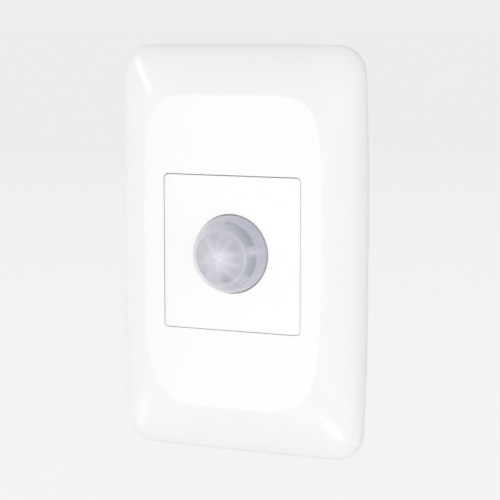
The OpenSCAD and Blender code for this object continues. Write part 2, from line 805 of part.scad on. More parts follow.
module fresnel_lens() {
    inner_r = lens_r - lens_wall;
    color("lavender") translate([0, front_y, 0]) rotate([90, 0, 0]) rotate_extrude() difference() {
        union() {
            lens_outline(lens_r, lens_h);
            translate([0, -face_wall]) square([lens_r, face_wall]);
            translate([0, -face_wall - lens_flange_t]) square([lens_flange_r, lens_flange_t]);
        }
        lens_outline(inner_r, lens_h - lens_wall);
        translate([-cut, -face_wall - lens_flange_t - cut])
            square([inner_r + cut, face_wall + lens_flange_t + cut]);
    }
}

module lens_retainer() {
    color("gainsboro") ring(lens_flange_r, lens_r - lens_wall, flange_y, retainer_y);
}

module module_housing() {
    color("whitesmoke") difference() {
        union() {
            difference() {
                union() {
                    slab(module_w, module_h, module_corner_r, skirt_back_y, flange_back_y);
                    slab(housing_w, housing_h, housing_corner_r, flange_back_y - root, rear_y);
                    for (x = [-1, 1]) at(x * (housing_w / 2), 0)
                        bar(2 * nub_h, nub_l, nub_y, nub_y + nub_t);
                }
                slab(inside_w, inside_h, inside_corner_r, skirt_back_y - cut, rear_inside_y);
            }
            at_columns() rod(column_r, column_top_y, rear_inside_y + root);
            for (x = [-1, 1], z = [-1, 1]) at(x * (inside_w + root - rib_w) / 2, z * rib_z)
                bar(rib_w + root, rib_w, main_back_y, rear_inside_y + root);
        }
        at_columns() rod(well_r, well_bottom_y, rear_y + cut);
        at_columns() rod(closing_d / 2 + closing_clearance, column_top_y - cut, rear_y);
        terminal_bay();
        for (x = [-1, 1]) at(x * knob_x, knob_z) {
            rod(knob_hole_r, rear_inside_y - cut, rear_y + cut);
            scale_marks();
        }
        at(switch_x, switch_z) bar(slider_slot_l, slider_slot_w, rear_inside_y - cut, rear_y + cut);
        for (k = [0 : vent_count - 1]) at(0, vent_z + (k - (vent_count - 1) / 2) * vent_pitch)
            slot(vent_l, vent_w, rear_inside_y - cut, rear_y + cut);
    }
}

// The corner of the housing that the terminal blocks take up
module terminal_bay() {
    translate([bay_left_x, main_back_y, block_bottom_z - bay_clearance])
        cube([bay_w, rear_y, block_h + bay_clearance + cut]);
}

module scale_marks() {
    mark_r = knob_hole_r + tick_gap;
    for (k = [0 : tick_count - 1]) rotate([0, -knob_turn + 2 * knob_turn * k / (tick_count - 1), 0])
        translate([-tick_w / 2, rear_y - tick_depth, mark_r]) cube([tick_w, tick_depth + cut, tick_l]);
}

module closing_screws() {
    color("silver") at_columns() translate([0, well_bottom_y, 0]) mirror([0, 1, 0])
        slotted_screw(closing_d / 2 - closing_clearance / 2, closing_l, closing_head_d / 2, closing_head_h,
            closing_slot_w, closing_slot_d);
}

// A circuit board with its two lower corners cut away for the columns
module board(y0, y1) {
    color("seagreen") difference() {
        bar(board_w, board_h, y0, y1);
        for (x = [-1, 1]) at(x * board_w / 2, -board_h / 2)
            bar(2 * notch_w, 2 * notch_h, y0 - cut, y1 + cut);
    }
}

module sensor_board() {
    board(sensor_board_y, sensor_back_y);
}

module main_board() {
    board(main_board_y, main_back_y);
}

// The detector's parts stand on the sensor board, towards the lens
pir_base_y = sensor_board_y - pir_base_t;
pir_top_y = pir_base_y - pir_can_h;

module pir_base() {
    color("darkgray") rod(pir_base_d / 2, pir_base_y, sensor_board_y);
}

module pir_element() {
    color("dimgray") bar(element_w, element_h, pir_base_y - element_t, pir_base_y);
}

module pir_filter() {
    color("black") bar(pir_window_w + 2 * filter_margin, pir_window_h + 2 * filter_margin,
        pir_top_y + pir_can_wall, pir_top_y + pir_can_wall + filter_t);
}

module pir_can() {
    color("silver") difference() {
        rod(pir_can_d / 2, pir_top_y, pir_base_y);
        rod(pir_can_d / 2 - pir_can_wall, pir_top_y + pir_can_wall, pir_base_y + cut);
        bar(pir_window_w, pir_window_h, pir_top_y - cut, pir_top_y + cut);
    }
}

module light_sensor() {
    color("tan") at(eye_x, 0) rod(light_sensor_d / 2, sensor_board_y - light_sensor_t, sensor_board_y);
}

module status_led() {
    r = led_d / 2;
    dome_y = sensor_board_y - led_h + r;
    color("crimson") at(-eye_x, 0) union() {
        rod(led_foot_d / 2, sensor_board_y - led_foot_t, sensor_board_y);
        rod(r, dome_y, sensor_board_y);
        translate([0, dome_y, 0]) sphere(r);
    }
}

module detector_chip() {
    color("dimgray") at(0, detector_chip_z) bar(chip_l, chip_w, sensor_back_y, sensor_back_y + chip_t);
}

module driver_chip() {
    color("dimgray") at(0, driver_chip_z) bar(chip_l, chip_w, main_board_y - chip_t, main_board_y);
}

module board_connector() {
    color("black") at(0, -board_h / 2 + connector_inset)
        bar(contact_count * contact_pitch, connector_w, sensor_back_y, main_board_y);
}

module board_spacers() {
    color("ivory") for (x = [-1, 1]) at(x * (board_w / 2 - spacer_inset), board_h / 2 - spacer_inset)
        rod(spacer_d / 2, sensor_back_y, main_board_y);
}

// Relay
module at_relay() {
    at(relay_x, relay_z) children();
}

module relay_base() {
    color("black") at_relay() bar(relay_l, relay_w, main_back_y, relay_floor_y);
}

module relay_cover() {
    color("royalblue") at_relay() difference() {
        bar(relay_l, relay_w, relay_floor_y, relay_top_y);
        bar(relay_l - 2 * relay_cover_t, relay_w - 2 * relay_cover_t,
            relay_floor_y - cut, relay_inside_top_y);
    }
}

module relay_coil() {
    color("chocolate") at_relay() translate([0, coil_y, 0]) union() {
        cross_rod(coil_d / 2, yoke_inside_x, coil_end_x);
        cross_rod(coil_flange_d / 2, yoke_inside_x, yoke_inside_x + coil_flange_t);
        cross_rod(coil_flange_d / 2, coil_end_x - coil_flange_t, coil_end_x);
        cross_rod(pole_d / 2, coil_end_x - coil_flange_t, pole_x);
    }
}

module relay_yoke() {
    yoke_end_x = armature_x - yoke_gap;
    color("gray") at_relay() translate([yoke_back_x, 0, -relay_iron_w / 2]) union() {
        translate([0, relay_floor_y, 0]) cube([relay_iron_t, yoke_top_y - relay_floor_y, relay_iron_w]);
        translate([0, yoke_top_y - relay_iron_t, 0])
            cube([yoke_end_x - yoke_back_x, relay_iron_t, relay_iron_w]);
    }
}

module relay_armature() {
    plate_end_y = coil_y - pole_d / 2;
    color("gray") at_relay() union() {
        translate([armature_x, plate_end_y, -relay_iron_w / 2])
            cube([relay_iron_t, armature_hinge_y - plate_end_y, relay_iron_w]);
        translate([armature_x + relay_iron_t / 2, armature_hinge_y, 0])
            cylinder(d = relay_iron_t, h = relay_iron_w, center = true);
        translate([spring_x, contact_y - rivet_d / 2, -spring_w / 2])
            cube([spring_t, coil_y - contact_y, spring_w]);
        translate([0, contact_y, 0]) cross_rod(rivet_d / 2, rivet_tip_x, spring_x + spring_t / 2);
    }
}

module relay_contacts() {
    color("goldenrod") at_relay() union() {
        translate([post_x - post_t, relay_floor_y, -spring_w / 2])
            cube([post_t, contact_y + rivet_d / 2 - relay_floor_y, spring_w]);
        translate([0, contact_y, 0]) cross_rod(rivet_d / 2, post_x - post_t / 2, post_x + rivet_h);
    }
}

// Supply parts behind the main board
module film_capacitor() {
    color("gold") at(film_x, film_z) bar(film_l, film_w, main_back_y, main_back_y + film_h);
}

module storage_capacitor() {
    r = storage_d / 2;
    color("midnightblue") at(storage_x, supply_z) translate([0, main_back_y, 0]) rotate([-90, 0, 0])
        rotate_extrude() union() {
            square([r, storage_h - storage_edge_r]);
            square([r - storage_edge_r, storage_h]);
            translate([r - storage_edge_r, storage_h - storage_edge_r]) circle(storage_edge_r);
        }
}

module varistor() {
    centre_y = main_back_y + varistor_leg_h + varistor_d / 2;
    color("deepskyblue") at(varistor_x, supply_z) union() {
        translate([0, centre_y, 0]) cylinder(d = varistor_d, h = varistor_t, center = true);
        for (x = [-1, 1]) at(x * varistor_pitch / 2, 0) rod(varistor_leg_d / 2, main_back_y, centre_y);
    }
}

module fuse() {
    color("saddlebrown") at(fuse_x, supply_z) rod(fuse_d / 2, main_back_y, main_back_y + fuse_h);
}

module rectifier_diodes() {
    step_x = (diode_w + diode_gap) / 2;
    step_z = (diode_l + diode_gap) / 2;
    color("black") for (x = [-1, 1], z = [-1, 1]) at(diode_x + x * step_x, supply_z + z * step_z)
        bar(diode_w, diode_l, main_back_y, main_back_y + diode_t);
}

// Terminals
module terminal_block(n) {
    room_w = cage_w + 2 * cage_clearance;
    room_h = cage_h + 2 * cage_clearance;
    bar_room_w = bar_w + 2 * bar_gap;
    bar_floor_z = block_bottom_z + bar_t;
    color("slategray") at(terminal_x(n), 0) difference() {
        translate([-block_w / 2, main_back_y, block_bottom_z])
            cube([block_w, rear_y - main_back_y, block_h]);
        at(0, cage_z) bar(room_w, room_h, cage_y - cage_clearance, cage_room_y);
        translate([-bar_room_w / 2, main_back_y - cut, bar_floor_z])
            cube([bar_room_w, bar_back_y + bar_gap - main_back_y + cut, cage_z - bar_floor_z]);
        at(0, cage_z) rod(clamp_r + clamp_clearance, cage_room_y - cut, rear_y);
        at(0, cage_z) rod(clamp_head_d / 2 + clamp_head_clearance, ledge_y, rear_y + cut);
        translate([0, wire_y, cage_z]) cylinder(r = wire_r, h = block_h);
    }
}

module terminal_bar(n) {
    top_z = cage_z + cage_h / 2;
    foot_z = block_bottom_z + bar_t + bar_gap;
    color("peru") at(terminal_x(n), 0) translate([-bar_w / 2, 0, foot_z]) union() {
        translate([0, bar_y, 0]) cube([bar_w, bar_t, top_z - foot_z]);
        translate([0, main_back_y, 0]) cube([bar_w, bar_back_y - main_back_y, bar_t]);
    }
}

module terminal_cage(n) {
    color("khaki") at(terminal_x(n), cage_z) difference() {
        bar(cage_w, cage_h, cage_y, cage_y + cage_l);
        bar(cage_w - 2 * cage_side_t, cage_h + cut, jaw_y, nut_y);
        rod(clamp_r + clamp_clearance, nut_y - cut, cage_y + cage_l + cut);
    }
}

module terminal_screw(n) {
    tip_y = nut_y + clamp_clearance;
    color("silver") at(terminal_x(n), cage_z) translate([0, ledge_y, 0]) mirror([0, 1, 0])
        slotted_screw(clamp_r, ledge_y - tip_y, clamp_head_d / 2, clamp_head_h, clamp_slot_w, clamp_slot_d);
}

// Settings
module trimmer(side) {
    color("cornflowerblue") at(side * knob_x, knob_z)
        bar(trimmer_w, trimmer_w, main_back_y, main_back_y + trimmer_h);
}

module knob(side) {
    knob_end_y = rear_y - knob_recess;
    color("orange") at(side * knob_x, knob_z) difference() {
        rod(knob_d / 2, main_back_y + trimmer_h, knob_end_y);
        bar(knob_slot_w, knob_d * 2, knob_end_y - knob_slot_d, knob_end_y + cut);
    }
}

module time_trimmer() {
    trimmer(-1);
}

module time_knob() {
    knob(-1);
}

module light_trimmer() {
    trimmer(1);
}

module light_knob() {
    knob(1);
}

module mode_switch() {
    room_l = switch_l - 2 * switch_wall;
    room_w = switch_w - 2 * switch_wall;
    color("lightsteelblue") at(switch_x, switch_z) difference() {
        bar(switch_l, switch_w, main_back_y, switch_top_y);
        bar(room_l, room_w, slider_foot_y - slider_clearance, switch_top_y + cut);
    }
}

module mode_slider() {
    color("black") at(switch_x, switch_z) union() {
        bar(slider_foot_l, slider_foot_w, slider_foot_y, slider_foot_y + slider_foot_t);
        bar(slider_l, slider_w, slider_foot_y, rear_y + slider_proud);
    }
}

cover_plate();
support_frame();
fixing_screws();
sensor_face();
fresnel_lens();
lens_retainer();
module_housing();
closing_screws();
sensor_board();
pir_base();
pir_element();
pir_filter();
pir_can();
light_sensor();
status_led();
detector_chip();
board_connector();
board_spacers();
main_board();
driver_chip();
relay_base();
relay_coil();
relay_yoke();
relay_armature();
relay_contacts();
relay_cover();
film_capacitor();
storage_capacitor();
varistor();
fuse();
rectifier_diodes();
terminal_block(1);  // terminal_block_1
terminal_block(2);  // terminal_block_2
terminal_block(3);  // terminal_block_3
terminal_bar(1);  // terminal_bar_1
terminal_bar(2);  // terminal_bar_2
terminal_bar(3);  // terminal_bar_3
terminal_cage(1);  // terminal_cage_1
terminal_cage(2);  // terminal_cage_2
terminal_cage(3);  // terminal_cage_3
terminal_screw(1);  // terminal_screw_1
terminal_screw(2);  // terminal_screw_2
terminal_screw(3);  // terminal_screw_3
time_trimmer();
time_knob();
light_trimmer();
light_knob();
mode_switch();
mode_slider();
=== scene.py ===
import json
import math

import bmesh
import bpy
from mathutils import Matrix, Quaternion, Vector


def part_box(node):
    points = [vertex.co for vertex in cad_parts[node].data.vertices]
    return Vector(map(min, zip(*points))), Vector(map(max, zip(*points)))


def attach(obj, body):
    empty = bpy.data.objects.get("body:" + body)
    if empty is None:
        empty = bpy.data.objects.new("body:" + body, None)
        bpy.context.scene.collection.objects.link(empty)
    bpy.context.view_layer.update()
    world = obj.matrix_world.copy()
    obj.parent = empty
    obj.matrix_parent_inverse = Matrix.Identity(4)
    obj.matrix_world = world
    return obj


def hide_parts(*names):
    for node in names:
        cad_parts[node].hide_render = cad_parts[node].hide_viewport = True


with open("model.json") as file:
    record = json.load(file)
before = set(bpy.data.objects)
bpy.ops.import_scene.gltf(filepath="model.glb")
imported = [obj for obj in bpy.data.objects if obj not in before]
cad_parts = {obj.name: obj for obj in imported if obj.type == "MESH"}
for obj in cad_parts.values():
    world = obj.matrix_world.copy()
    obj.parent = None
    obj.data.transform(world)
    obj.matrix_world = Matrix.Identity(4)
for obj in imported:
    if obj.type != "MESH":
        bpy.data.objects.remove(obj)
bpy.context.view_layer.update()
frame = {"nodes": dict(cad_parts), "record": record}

scene = bpy.context.scene
MM = 0.001


def node_box(node):
    """Lowest and highest corner of a CAD node, in millimetres."""
    return [[round(v / MM, 3) for v in corner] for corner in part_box(node)]


# Sizes that the frame gives, in millimetres, with +X to the right, +Y into the wall and +Z up
plate_low, plate_high = node_box("cover_plate")
_, face_high = node_box("sensor_face")
lens_low, lens_high = node_box("fresnel_lens")
_, retainer_high = node_box("lens_retainer")
screw_low, screw_high = node_box("fixing_screws")
PLATE_W, PLATE_H, FRONT = 2 * plate_high[0], 2 * plate_high[2], plate_low[1]
FACE_W, FACE_H, BOSS_END = 2 * face_high[0], 2 * face_high[2], face_high[1]
FLANGE_R, FLANGE_BACK, COLLAR_END = lens_high[0], lens_high[1], retainer_high[1]
LENS_H = FRONT - lens_low[1]
HEAD_R, HEAD_TOP, SCREW_END = screw_high[0], screw_low[1], screw_high[1]

# Sizes that pieces share, in millimetres
FACE_BACK = -7.7
LIP = 0.2  # rounding of the edges round the face
ROOT = 0.4  # how far a rib starts inside what carries it
TINY = 1e-9  # what counts as nothing

# The lens's rings of windows: radii in millimetres, angles from the right in degrees
HUB_EDGE, INNER_EDGE, OUTER_EDGE = 1.6, 7.7, 10.15
INNER_STEP, OUTER_STEP, WINDOW_TURN = 36.0, 72.0, 18.0


# Mesh tools
def outline(a, b, r, side=18, corner=20):
    """A rounded rectangle of half sizes a and b: points (x, z) from its right side up and all round."""
    def quarter(a, b):
        turn = [math.pi / 2 * k / corner for k in range(corner)]
        half = [math.sin(math.pi / 2 * k / side) for k in range(side + 1)]
        return (
            [(a, (b - r) * half[k]) for k in range(side)]
            + [(a - r + r * math.cos(t), b - r + r * math.sin(t)) for t in turn]
            + [((a - r) * half[k], b) for k in range(side, 0, -1)]
        )

    up, across = quarter(a, b), quarter(b, a)
    return (
        up
        + [(-z, x) for x, z in across]
        + [(-x, -z) for x, z in up]
        + [(z, -x) for x, z in across]
    )


def circle(r, count):
    turns = [2 * math.pi * k / count for k in range(count)]
    return [(r * math.cos(t), r * math.sin(t)) for t in turns]


def at_depth(points, y):
    return [(x, y, z) for x, z in points]


def quarter_turn(parts):
    return [math.pi / 2 * k / parts for k in range(parts + 1)]


class Shape:
    """Points and faces of one mesh, gathered from lofted rings."""

    def __init__(self):
        self.points, self.faces = [], []

    def loft(self, rings, loop=False, caps=False):
        """Joins each ring to the next, and then the last to the first or each end to a cap."""
        start, n = len(self.points), len(rings[0])
        for ring in rings:
            self.points += ring
        last = len(rings) if loop else len(rings) - 1
        for j in range(last):
            a, b = start + j * n, start + (j + 1) % len(rings) * n
            for i in range(n):
                k = (i + 1) % n
                self.faces.append((a + i, a + k, b + k, b + i))
        if caps:
            self.faces.append(tuple(start + i for i in range(n)))
            self.faces.append(tuple(start + (len(rings) - 1) * n + i for i in range(n)))
        return self

    def piece(self, name, body, slot, material, stands_for):
        """Makes the mesh, in metres, smooth on its walls and flat on its caps."""
        mesh = bpy.data.meshes.new(name)
        mesh.from_pydata([(x * MM, y * MM, z * MM) for x, y, z in self.points], [], self.faces)
        work = bmesh.new()
        work.from_mesh(mesh)
        bmesh.ops.recalc_face_normals(work, faces=work.faces)
        for face in work.faces:
            face.smooth = len(face.verts) == 4
        work.to_mesh(mesh)
        work.free()
        obj = bpy.data.objects.new(name, mesh)
        scene.collection.objects.link(obj)
        mesh.materials.append(material)
        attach(obj, body)
        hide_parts(stands_for)
        return obj


# Material tools
EVEN = (1, 1, 1)
MIDDLE, NARROW = (0.3, 0.7), (0.35, 0.65)  # where most values of a noise lie


class Graph:
    """Shader nodes of one tree, joined socket by socket."""

    def __init__(self, tree):
        self.tree = tree

    def node(self, kind, **settings):
        made = self.tree.nodes.new(kind)
        for key, value in settings.items():
            setattr(made, key, value)
        return made

    def put(self, value, socket):
        if isinstance(value, bpy.types.NodeSocket):
            self.tree.links.new(value, socket)
        else:
            socket.default_value = value

    def math(self, operation, *values, clamp=False):
        made = self.node("ShaderNodeMath", operation=operation, use_clamp=clamp)
        for value, socket in zip(values, made.inputs):
            self.put(value, socket)
        return made.outputs[0]

    def times(self, first, *others):
        for value in others:
            first = self.math("MULTIPLY", first, value)
        return first

    def total(self, first, *others):
        for value in others:
            first = self.math("ADD", first, value)
        return first

    def less(self, value):
        """What a value leaves of one, and never below nothing."""
        return self.math("SUBTRACT", 1.0, value, clamp=True)

    def span(self, value, low, high, new_low, new_high, smooth=False):
        """A value between low and high, carried over to a new low and high and kept between them."""
        rise = "SMOOTHSTEP" if smooth else "LINEAR"
        made = self.node("ShaderNodeMapRange", interpolation_type=rise)
        for given, socket in zip((value, low, high, new_low, new_high), made.inputs):
            self.put(given, socket)
        return made.outputs[0]


class Material(Graph):
    """The nodes of one material, up to its shader."""

    def __init__(self, name):
        self.material = bpy.data.materials.new(name)
        self.material.use_nodes = True
        super().__init__(self.material.node_tree)
        self.shader = self.tree.nodes["Principled BSDF"]

    def paint(self, key, value):
        self.put(value, self.shader.inputs[key])

    def place(self, stretch=EVEN):
        spot = self.node("ShaderNodeTexCoord").outputs["Object"]
        if stretch == EVEN:
            return spot
        made = self.node("ShaderNodeMapping")
        self.put(stretch, made.inputs["Scale"])
        self.put(spot, made.inputs["Vector"])
        return made.outputs[0]

    def noise(self, place, scale, detail=2.0, roughness=0.5):
        made = self.node("ShaderNodeTexNoise")
        self.put(place, made.inputs["Vector"])
        self.put(scale, made.inputs["Scale"])
        self.put(detail, made.inputs["Detail"])
        self.put(roughness, made.inputs["Roughness"])
        return made.outputs["Fac"]

    def blend(self, share, first, second):
        made = self.node("ShaderNodeMix", data_type="RGBA")
        self.put(share, made.inputs["Factor"])
        self.put(first, made.inputs[6])
        self.put(second, made.inputs[7])
        return made.outputs[2]

    def bump(self, height, distance, edge=0.0):
        """Raises the surface by a height, and rounds its edges by a radius in metres."""
        made = self.node("ShaderNodeBump")
        self.put(1.0, made.inputs["Strength"])
        self.put(distance, made.inputs["Distance"])
        self.put(height, made.inputs["Height"])
        if edge:
            soft = self.node("ShaderNodeBevel", samples=4)
            self.put(edge, soft.inputs["Radius"])
            self.put(soft.outputs[0], made.inputs["Normal"])
        self.paint("Normal", made.outputs[0])


def shade(tone, k=1.0):
    """A tone made k times as light, as an opaque colour."""
    return (*(min(c * k, 1.0) for c in tone), 1.0)


# Plastics and metals: a grain is how fine the skin's bumps are, and how high in metres
FINE, SATIN, POLISHED = (2500.0, 0.000012), (1800.0, 0.00002), (1800.0, 0.000003)
FLOW_SCALE, GLOSS_SCALE, GLOSS_SPREAD = 70.0, 260.0, 0.12
STREAK_SCALE, STREAK_H, STREAK_SPREAD = 900.0, 0.000003, 0.25
SPOT_SCALE, SPOT_DARK, SPOT_LIGHT = 400.0, 0.92, 1.05


def plastic(name, tone, rough, cloud=0.03, grain=FINE, edge=0.00018):
    """Moulded plastic: faint flow clouds in the colour, uneven gloss and a fine skin."""
    g = Material(name)
    place = g.place()
    flow = g.span(g.noise(place, FLOW_SCALE, detail=3.0), *MIDDLE, 0.0, 1.0)
    g.paint("Base Color", g.blend(flow, shade(tone, 1 - cloud), shade(tone, 1 + cloud)))
    gloss = g.noise(place, GLOSS_SCALE, detail=4.0)
    g.paint("Roughness", g.span(gloss, *MIDDLE, rough * (1 - GLOSS_SPREAD), rough * (1 + GLOSS_SPREAD)))
    g.bump(g.noise(place, grain[0]), grain[1], edge)
    return g.material


def metal(name, tone, rough, stretch=EVEN, edge=0.00012):
    """Plated or bare metal: drawn streaks in the gloss and small dull spots."""
    g = Material(name)
    streaks = g.noise(g.place(stretch), STREAK_SCALE, detail=3.0, roughness=0.6)
    spots = g.span(g.noise(g.place(), SPOT_SCALE, detail=4.0), *NARROW, 0.0, 1.0)
    g.paint("Base Color", g.blend(spots, shade(tone, SPOT_DARK), shade(tone, SPOT_LIGHT)))
    g.paint("Roughness", g.span(streaks, *MIDDLE, rough * (1 - STREAK_SPREAD), rough * (1 + STREAK_SPREAD)))
    g.paint("Metallic", 1.0)
    g.bump(streaks, STREAK_H, edge)
    return g.material


# Circuit boards: solder mask over faint copper tracks
MASK_GREEN, TRACK_GREEN = (0.012, 0.085, 0.035), (0.03, 0.16, 0.06)
TRACK_SCALE, TRACK_GAP, TRACK_H = 260.0, 0.06, 0.00003
MASK_SCALE, MASK_ROUGH = 500.0, (0.28, 0.4)


def board_green():
    g = Material("board_green")
    place = g.place()
    tracks = g.node("ShaderNodeTexBrick", offset=0.37, squash=0.7)
    g.put(place, tracks.inputs["Vector"])
    g.put(TRACK_SCALE, tracks.inputs["Scale"])
    g.put(TRACK_GAP, tracks.inputs["Mortar Size"])
    g.paint("Base Color", g.blend(tracks.outputs["Fac"], shade(MASK_GREEN), shade(TRACK_GREEN)))
    g.paint("Roughness", g.span(g.noise(place, MASK_SCALE), *MIDDLE, *MASK_ROUGH))
    g.bump(tracks.outputs["Fac"], TRACK_H)
    return g.material


# Relay coil: lacquered wire wound round the coil's axis
WIRE_DARK, WIRE_LIGHT = (0.16, 0.045, 0.015), (0.5, 0.19, 0.07)
WIRE_SCALE, WIRE_WAVER, WIRE_H = 1400.0, 0.3, 0.00005
WIRE_METAL, WIRE_ROUGH = 0.8, (0.45, 0.25)


def winding():
    g = Material("winding")
    wave = g.node("ShaderNodeTexWave", bands_direction="X")
    g.put(g.place(), wave.inputs["Vector"])
    g.put(WIRE_SCALE, wave.inputs["Scale"])
    g.put(WIRE_WAVER, wave.inputs["Distortion"])
    g.paint("Base Color", g.blend(wave.outputs["Fac"], shade(WIRE_DARK), shade(WIRE_LIGHT)))
    g.paint("Metallic", WIRE_METAL)
    g.paint("Roughness", g.span(wave.outputs["Fac"], 0.0, 1.0, *WIRE_ROUGH))
    g.bump(wave.outputs["Fac"], WIRE_H)
    return g.material


# Lens plastic: its tones, painted shade and painted highlights, gloss and scattered light
LENS_BASE, LENS_SHADE, LENS_WINDOW_SHADE = (0.658, 0.658, 0.722), (0.345, 0.335, 0.405), (0.285, 0.32, 0.395)
LENS_HIGHLIGHT, LENS_SKIRT_SHADE, LENS_CLOUD = (0.88, 0.88, 0.92), (0.556, 0.563, 0.688), (0.50, 0.50, 0.56)
CLOUD_SCALE, CLOUD_SHARE, FINE_SHARE, FINE_H = 330.0, 0.3, 0.06, 0.000012
LENS_ROUGH, SCATTER, SCATTER_R, SCATTER_SCALE = (0.2, 0.27), 0.3, (0.001, 0.001, 0.0012), 0.6
# Sizes of its pattern, in millimetres
INNER_DROP = 0.3  # how far the inner ring seems to sit below the middle
OVERLAP, SKIRT_SHADE_END, LIT_SKIRT_END = 0.1, 14.0, 13.5  # the painted shade and light on the skirt end past the lens's outside
SOFT, INNER_SOFT, FINE_SOFT = 0.4, 0.5, 0.3  # how soft the edges of its bands are
OUTER_SPOKE, INNER_SPOKE, LINE_W, RING_STEP = 0.75, 0.7, 0.4, 0.22
DARK_REACH, RAY_R, RAY_REACH, RAY_HIGHLIGHT = 3.2, 3.6, 4.4, 0.2
LEFT_EDGE_R, LEFT_EDGE_W, FINE_START = INNER_EDGE - 0.3, 0.5, 1.0
LIT_SKIRT_TURN = math.radians(204)  # where the painted light on the skirt is strongest
# Numbers that pick each window's painted shade and its darkest place, and each spoke's painted light
WINDOW_SHADE_SEED, REACH_SEED, RAY_SEED = 10392.5, 18249.5, 27728.5
# Soft spots: place x and z and reach x and z in millimetres, then strength
# Painted highlights round the hub
HIGHLIGHT_SPOTS = (
    (0.8, -0.6, 0.9, 0.5, 0.9),
    (-0.7, 0.3, 1.0, 0.8, 0.35),
    (0.9, 1.2, 4.4, 2.0, 0.37),
    (0.3, -0.4, 4.8, 4.4, 0.31),
)
# Paler gaps in the painted shade of the outer windows
WINDOW_SHADE_GAPS = ((8.9, 1.6, 2.2, 1.8, 1.2), (6.6, -6.2, 2.4, 2.2, 1.2))
# A painted highlight on the line between the rings
GAP_HIGHLIGHT = (9.2, 1.5, 2.4, 1.4, 0.3)
# Changes of strength: from one place, angle, facing or draw to another, then the two strengths
OUTER_FACING, OUTER_DEEPENING = (-0.35, 0.6, 0.1, 0.7), (INNER_EDGE, 9.6, 0.36, 1.0)
UPPER_FADE, UPPER_BAND = (42.0, 88.0, 1.0, 0.25), (8.5, 9.9, 0.0, 0.9)
INNER_SHADES, INNER_DARKEST = (0.0, 1.0, 0.05, 0.62), (0.0, 1.0, 4.4, 6.8)
INNER_SIDES, INNER_ACROSS = (0.1, 0.5, 1.0, 0.35), (-7.0, 0.0, 0.6, 1.0)
LEFT_EDGE_ACROSS, SHADE_ACROSS = (-7.0, -1.0, 0.35, 0.0), (-10.0, 8.0, 0.0, 0.14)
SKIRT_SHADE_ACROSS, SKIRT_SHADE_UP = (-2.0, 8.0, 0.0, 0.5), (-9.0, -3.0, 0.0, 1.0)
LINE_ACROSS, LIT_SKIRT_ACROSS = (-3.0, 6.0, 0.0, 0.3), (-1.0, 9.0, 0.0, 0.66)


